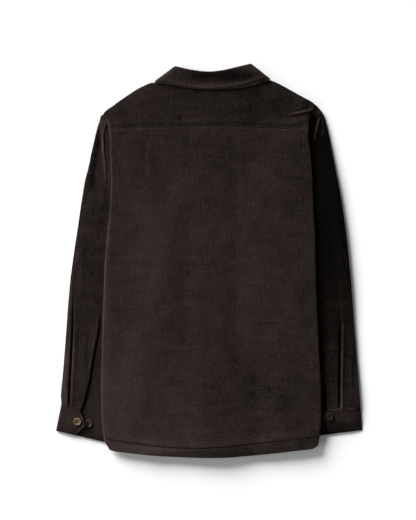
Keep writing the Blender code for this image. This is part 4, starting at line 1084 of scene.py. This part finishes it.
# %% Turn one button
BUTTON_RADIUS = 8.0 * MM
BUTTON_THICK = 2.0 * MM
BUTTON_SIDES = 56
SHANK = 0.6 * MM
HOLE_RADIUS = 1.0 * MM
HOLE_PLACE = 1.75 * MM
BUTTON_PROFILE = [
    # share of the radius, share of the thickness, from the middle of the back to the middle on top
    (0.0, 0.0), (0.80, 0.0), (0.93, 0.14), (0.99, 0.38), (1.0, 0.55), (0.97, 0.80), (0.91, 0.96),
    (0.84, 1.0), (0.77, 0.95), (0.70, 0.80), (0.60, 0.66), (0.42, 0.60), (0.0, 0.58),
]


def turned(profile, radius, height, sides):
    """A closed form spun from a profile that starts and ends on the axis."""
    mesh = bmesh.new()
    rings = []
    for share, level in profile[1:-1]:
        lift = Vector((0.0, 0.0, level * height))
        rings.append([mesh.verts.new(spoke + lift) for spoke in circle(share * radius, sides)])
    skin(mesh, rings)
    return mesh


def as_object(name, mesh):
    """An object made of a mesh in the making."""
    data = bpy.data.meshes.new(name)
    mesh.to_mesh(data)
    mesh.free()
    made = bpy.data.objects.new(name, data)
    bpy.context.scene.collection.objects.link(made)
    return made


plate = as_object("button_plate", turned(BUTTON_PROFILE, BUTTON_RADIUS, BUTTON_THICK, BUTTON_SIDES))
drills = bmesh.new()
for x in (-HOLE_PLACE, HOLE_PLACE):
    for y in (-HOLE_PLACE, HOLE_PLACE):
        bmesh.ops.create_cone(
            drills, cap_ends=True, segments=20, radius1=HOLE_RADIUS, radius2=HOLE_RADIUS,
            depth=4 * BUTTON_THICK, matrix=Matrix.Translation((x, y, 0)))
drill = as_object("button_drill", drills)
cut = plate.modifiers.new("holes", "BOOLEAN")
cut.operation = "DIFFERENCE"
cut.solver = "EXACT"
cut.object = drill
graph = bpy.context.evaluated_depsgraph_get()
BUTTON = bpy.data.meshes.new_from_object(plate.evaluated_get(graph))
for scratch in (plate, drill):
    bpy.data.objects.remove(scratch)
print("button:", len(BUTTON.polygons), "faces")

# %% Cross the thread through its holes
DISH = BUTTON_PROFILE[-1][1] * BUTTON_THICK
STRAND = 0.3 * MM
STRANDS_APART = 0.22 * MM
CROSS_LIFT = {-1: 0.36 * MM, 1: 0.62 * MM}


def add_thread(data):
    """Crossed threads on top, and four strands down to the cloth."""
    mesh = bmesh.new()
    mesh.from_mesh(data)
    before = len(mesh.faces)
    for way, lift in CROSS_LIFT.items():
        for side in (-STRANDS_APART, STRANDS_APART):
            (x0, y0), (x1, y1) = (
                (sign * HOLE_PLACE + way * side, sign * way * HOLE_PLACE - side) for sign in (-1, 1))
            line = [(x0, y0, -SHANK), (x0, y0, DISH * 0.7)]
            for share in (0.12, 0.35, 0.65, 0.88):
                height = DISH + lift * math.sin(math.pi * share) ** 0.5
                line.append((x0 + (x1 - x0) * share, y0 + (y1 - y0) * share, height))
            line += [(x1, y1, DISH * 0.7), (x1, y1, -SHANK)]
            tube(mesh, line, STRAND, 7)
    mesh.faces.ensure_lookup_table()
    for face in mesh.faces[before:]:
        face.material_index = 1
    bmesh.ops.recalc_face_normals(mesh, faces=mesh.faces)
    mesh.to_mesh(data)
    mesh.free()


add_thread(BUTTON)
BUTTON.shade_smooth()
print("button with its thread:", len(BUTTON.polygons), "faces")

# %% Polish the horn and sew every button on
def horn(name):
    """Pale horn: cloudy bands of cream and brown, softly polished, darker by a stored number that is
    painted shade on the right cuff.
    """
    made = Recipe(name)
    spot = made.node("ShaderNodeTexCoord").outputs["Object"]
    clouds = made.noise(spot, 150.0, 4.0, 0.6)
    drawn = made.node("ShaderNodeVectorMath", {"operation": "MULTIPLY"}, spot, (1.0, 5.0, 1.0))
    grain = made.noise(drawn.outputs[0], 420.0, 3.0)
    # The stored number darkens the horn; on the right cuff's buttons it is painted shade.
    tone = (clouds * 0.9 + grain * 0.35 - 0.12 - made.stored("smoked")).kept(0.02, 0.85)
    colour = made.blend(tone, (0.012, 0.0065, 0.0015, 1.0), (0.200, 0.142, 0.068, 1.0))
    return made.finish(
        Base_Color=colour, Roughness=0.42 + grain * 0.15, Normal=made.bump(grain, 0.03 * MM),
        Coat_Weight=0.04, Coat_Roughness=0.3, Specular_IOR_Level=0.15,
    )


HORN = horn("horn")
THREAD_DARK = sewing_thread(
    "button_thread", (0.034, 0.024, 0.015, 1.0), (0.012, 0.008, 0.005, 1.0))
BUTTONS = sorted(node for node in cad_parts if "button" in node)
# How much darker each button is made: on the right cuff, in the body's shade, this is painted shade;
# the second left button is darker too, and all others get the least.
BUTTON_DARKENING = {"cuff_button_left_2": 0.34, "cuff_button_right_1": 0.54, "cuff_button_right_2": 0.54}
LEAST_DARKENING = 0.08
for node in BUTTONS:
    data = BUTTON.copy()
    darkening = np.full(len(data.vertices), BUTTON_DARKENING.get(node, LEAST_DARKENING), np.float32)
    data.attributes.new("smoked", "FLOAT", "POINT").data.foreach_set("value", darkening)
    piece = show(node + "_horn", data, HORN)
    data.materials.append(THREAD_DARK)
    low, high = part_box(node)
    faces_up = node.startswith("cuff")
    flip = Matrix.Rotation(0.0 if faces_up else math.pi, 4, "X")
    level = low[2] + SHANK if faces_up else high[2] - SHANK
    middle = ((low[0] + high[0]) / 2, (low[1] + high[1]) / 2, level)
    piece.matrix_world = Matrix.Translation(middle) @ flip
    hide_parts(node)
print(len(BUTTONS), "buttons, each", round(2 * BUTTON_RADIUS / MM, 1), "mm across")

# %% [markdown]
# ## The table and the light
#
# A flat lay is lit from one side by a large soft window. Here it stands at the top left and low,
# so that the hem throws a soft shadow towards the viewer and the right sleeve lies in the body's
# shade. A pale wall at the left sends a little of that light back. A sun lamp with a wide angle
# gives the same light all over the table, where a lamp close by would leave one side darker.

# %% Lay the table
def painted_table(name):
    """Matt white paint with a trace of roller marks."""
    made = Recipe(name)
    spot = made.node("ShaderNodeTexCoord").outputs["Object"]
    marks = made.noise(spot, 40.0, 2.0)
    colour = made.blend(marks, (0.855, 0.855, 0.855, 1.0), (0.865, 0.865, 0.865, 1.0))
    return made.finish(Base_Color=colour, Roughness=0.9, Specular_IOR_Level=0.1)


TABLE_HALF = 3.0
TABLE_LEVEL = -0.2 * MM
table_data = bpy.data.meshes.new("table")
corners = [(x * TABLE_HALF, y * TABLE_HALF, 0) for x, y in ((-1, -1), (1, -1), (1, 1), (-1, 1))]
table_data.from_pydata(corners, [], [(0, 1, 2, 3)])
table_data.materials.append(painted_table("table_paint"))
table = bpy.data.objects.new("table", table_data)
table.location.z = TABLE_LEVEL
bpy.context.scene.collection.objects.link(table)
print("table", 2 * TABLE_HALF, "m wide")

# %% Hang the window light and the wall that returns some of it
LIGHT_ELEVATION = math.radians(11)
LIGHT_SPREAD = math.radians(42)
ROOM_STRENGTH = 0.17
LAMPS = {
    # where its light comes from in plan, strength
    "window": ((-0.64, 0.77), 14.3),
    "wall": ((-0.97, -0.22), 2.6),
}
for name, (come_from, strength) in LAMPS.items():
    lamp = bpy.data.lights.new(name, "SUN")
    lamp.energy = strength
    lamp.angle = LIGHT_SPREAD
    hung = bpy.data.objects.new(name, lamp)
    towards = Vector((*come_from, math.hypot(*come_from) * math.tan(LIGHT_ELEVATION)))
    hung.rotation_euler = towards.to_track_quat("Z", "Y").to_euler()
    bpy.context.scene.collection.objects.link(hung)

room = bpy.data.worlds.new("room")
room.use_nodes = True
air = room.node_tree.nodes["Background"].inputs
air["Color"].default_value = (1.0, 1.0, 1.0, 1.0)
air["Strength"].default_value = ROOM_STRENGTH
bpy.context.scene.world = room
bpy.context.scene.view_settings.view_transform = "Standard"
print("window and wall light", round(math.degrees(LIGHT_ELEVATION)), "degrees above the table")

# %% [markdown]
# ## Sizes and the end
#
# The cloth must not have grown: the box of the packed model and the box of what is shown are
# written side by side.

# %% Write the sizes and finish
for node, (_, flat, area, below) in PANELS.items():
    held = "laid" if node in ("back", "front_left", "front_right") else "folded"
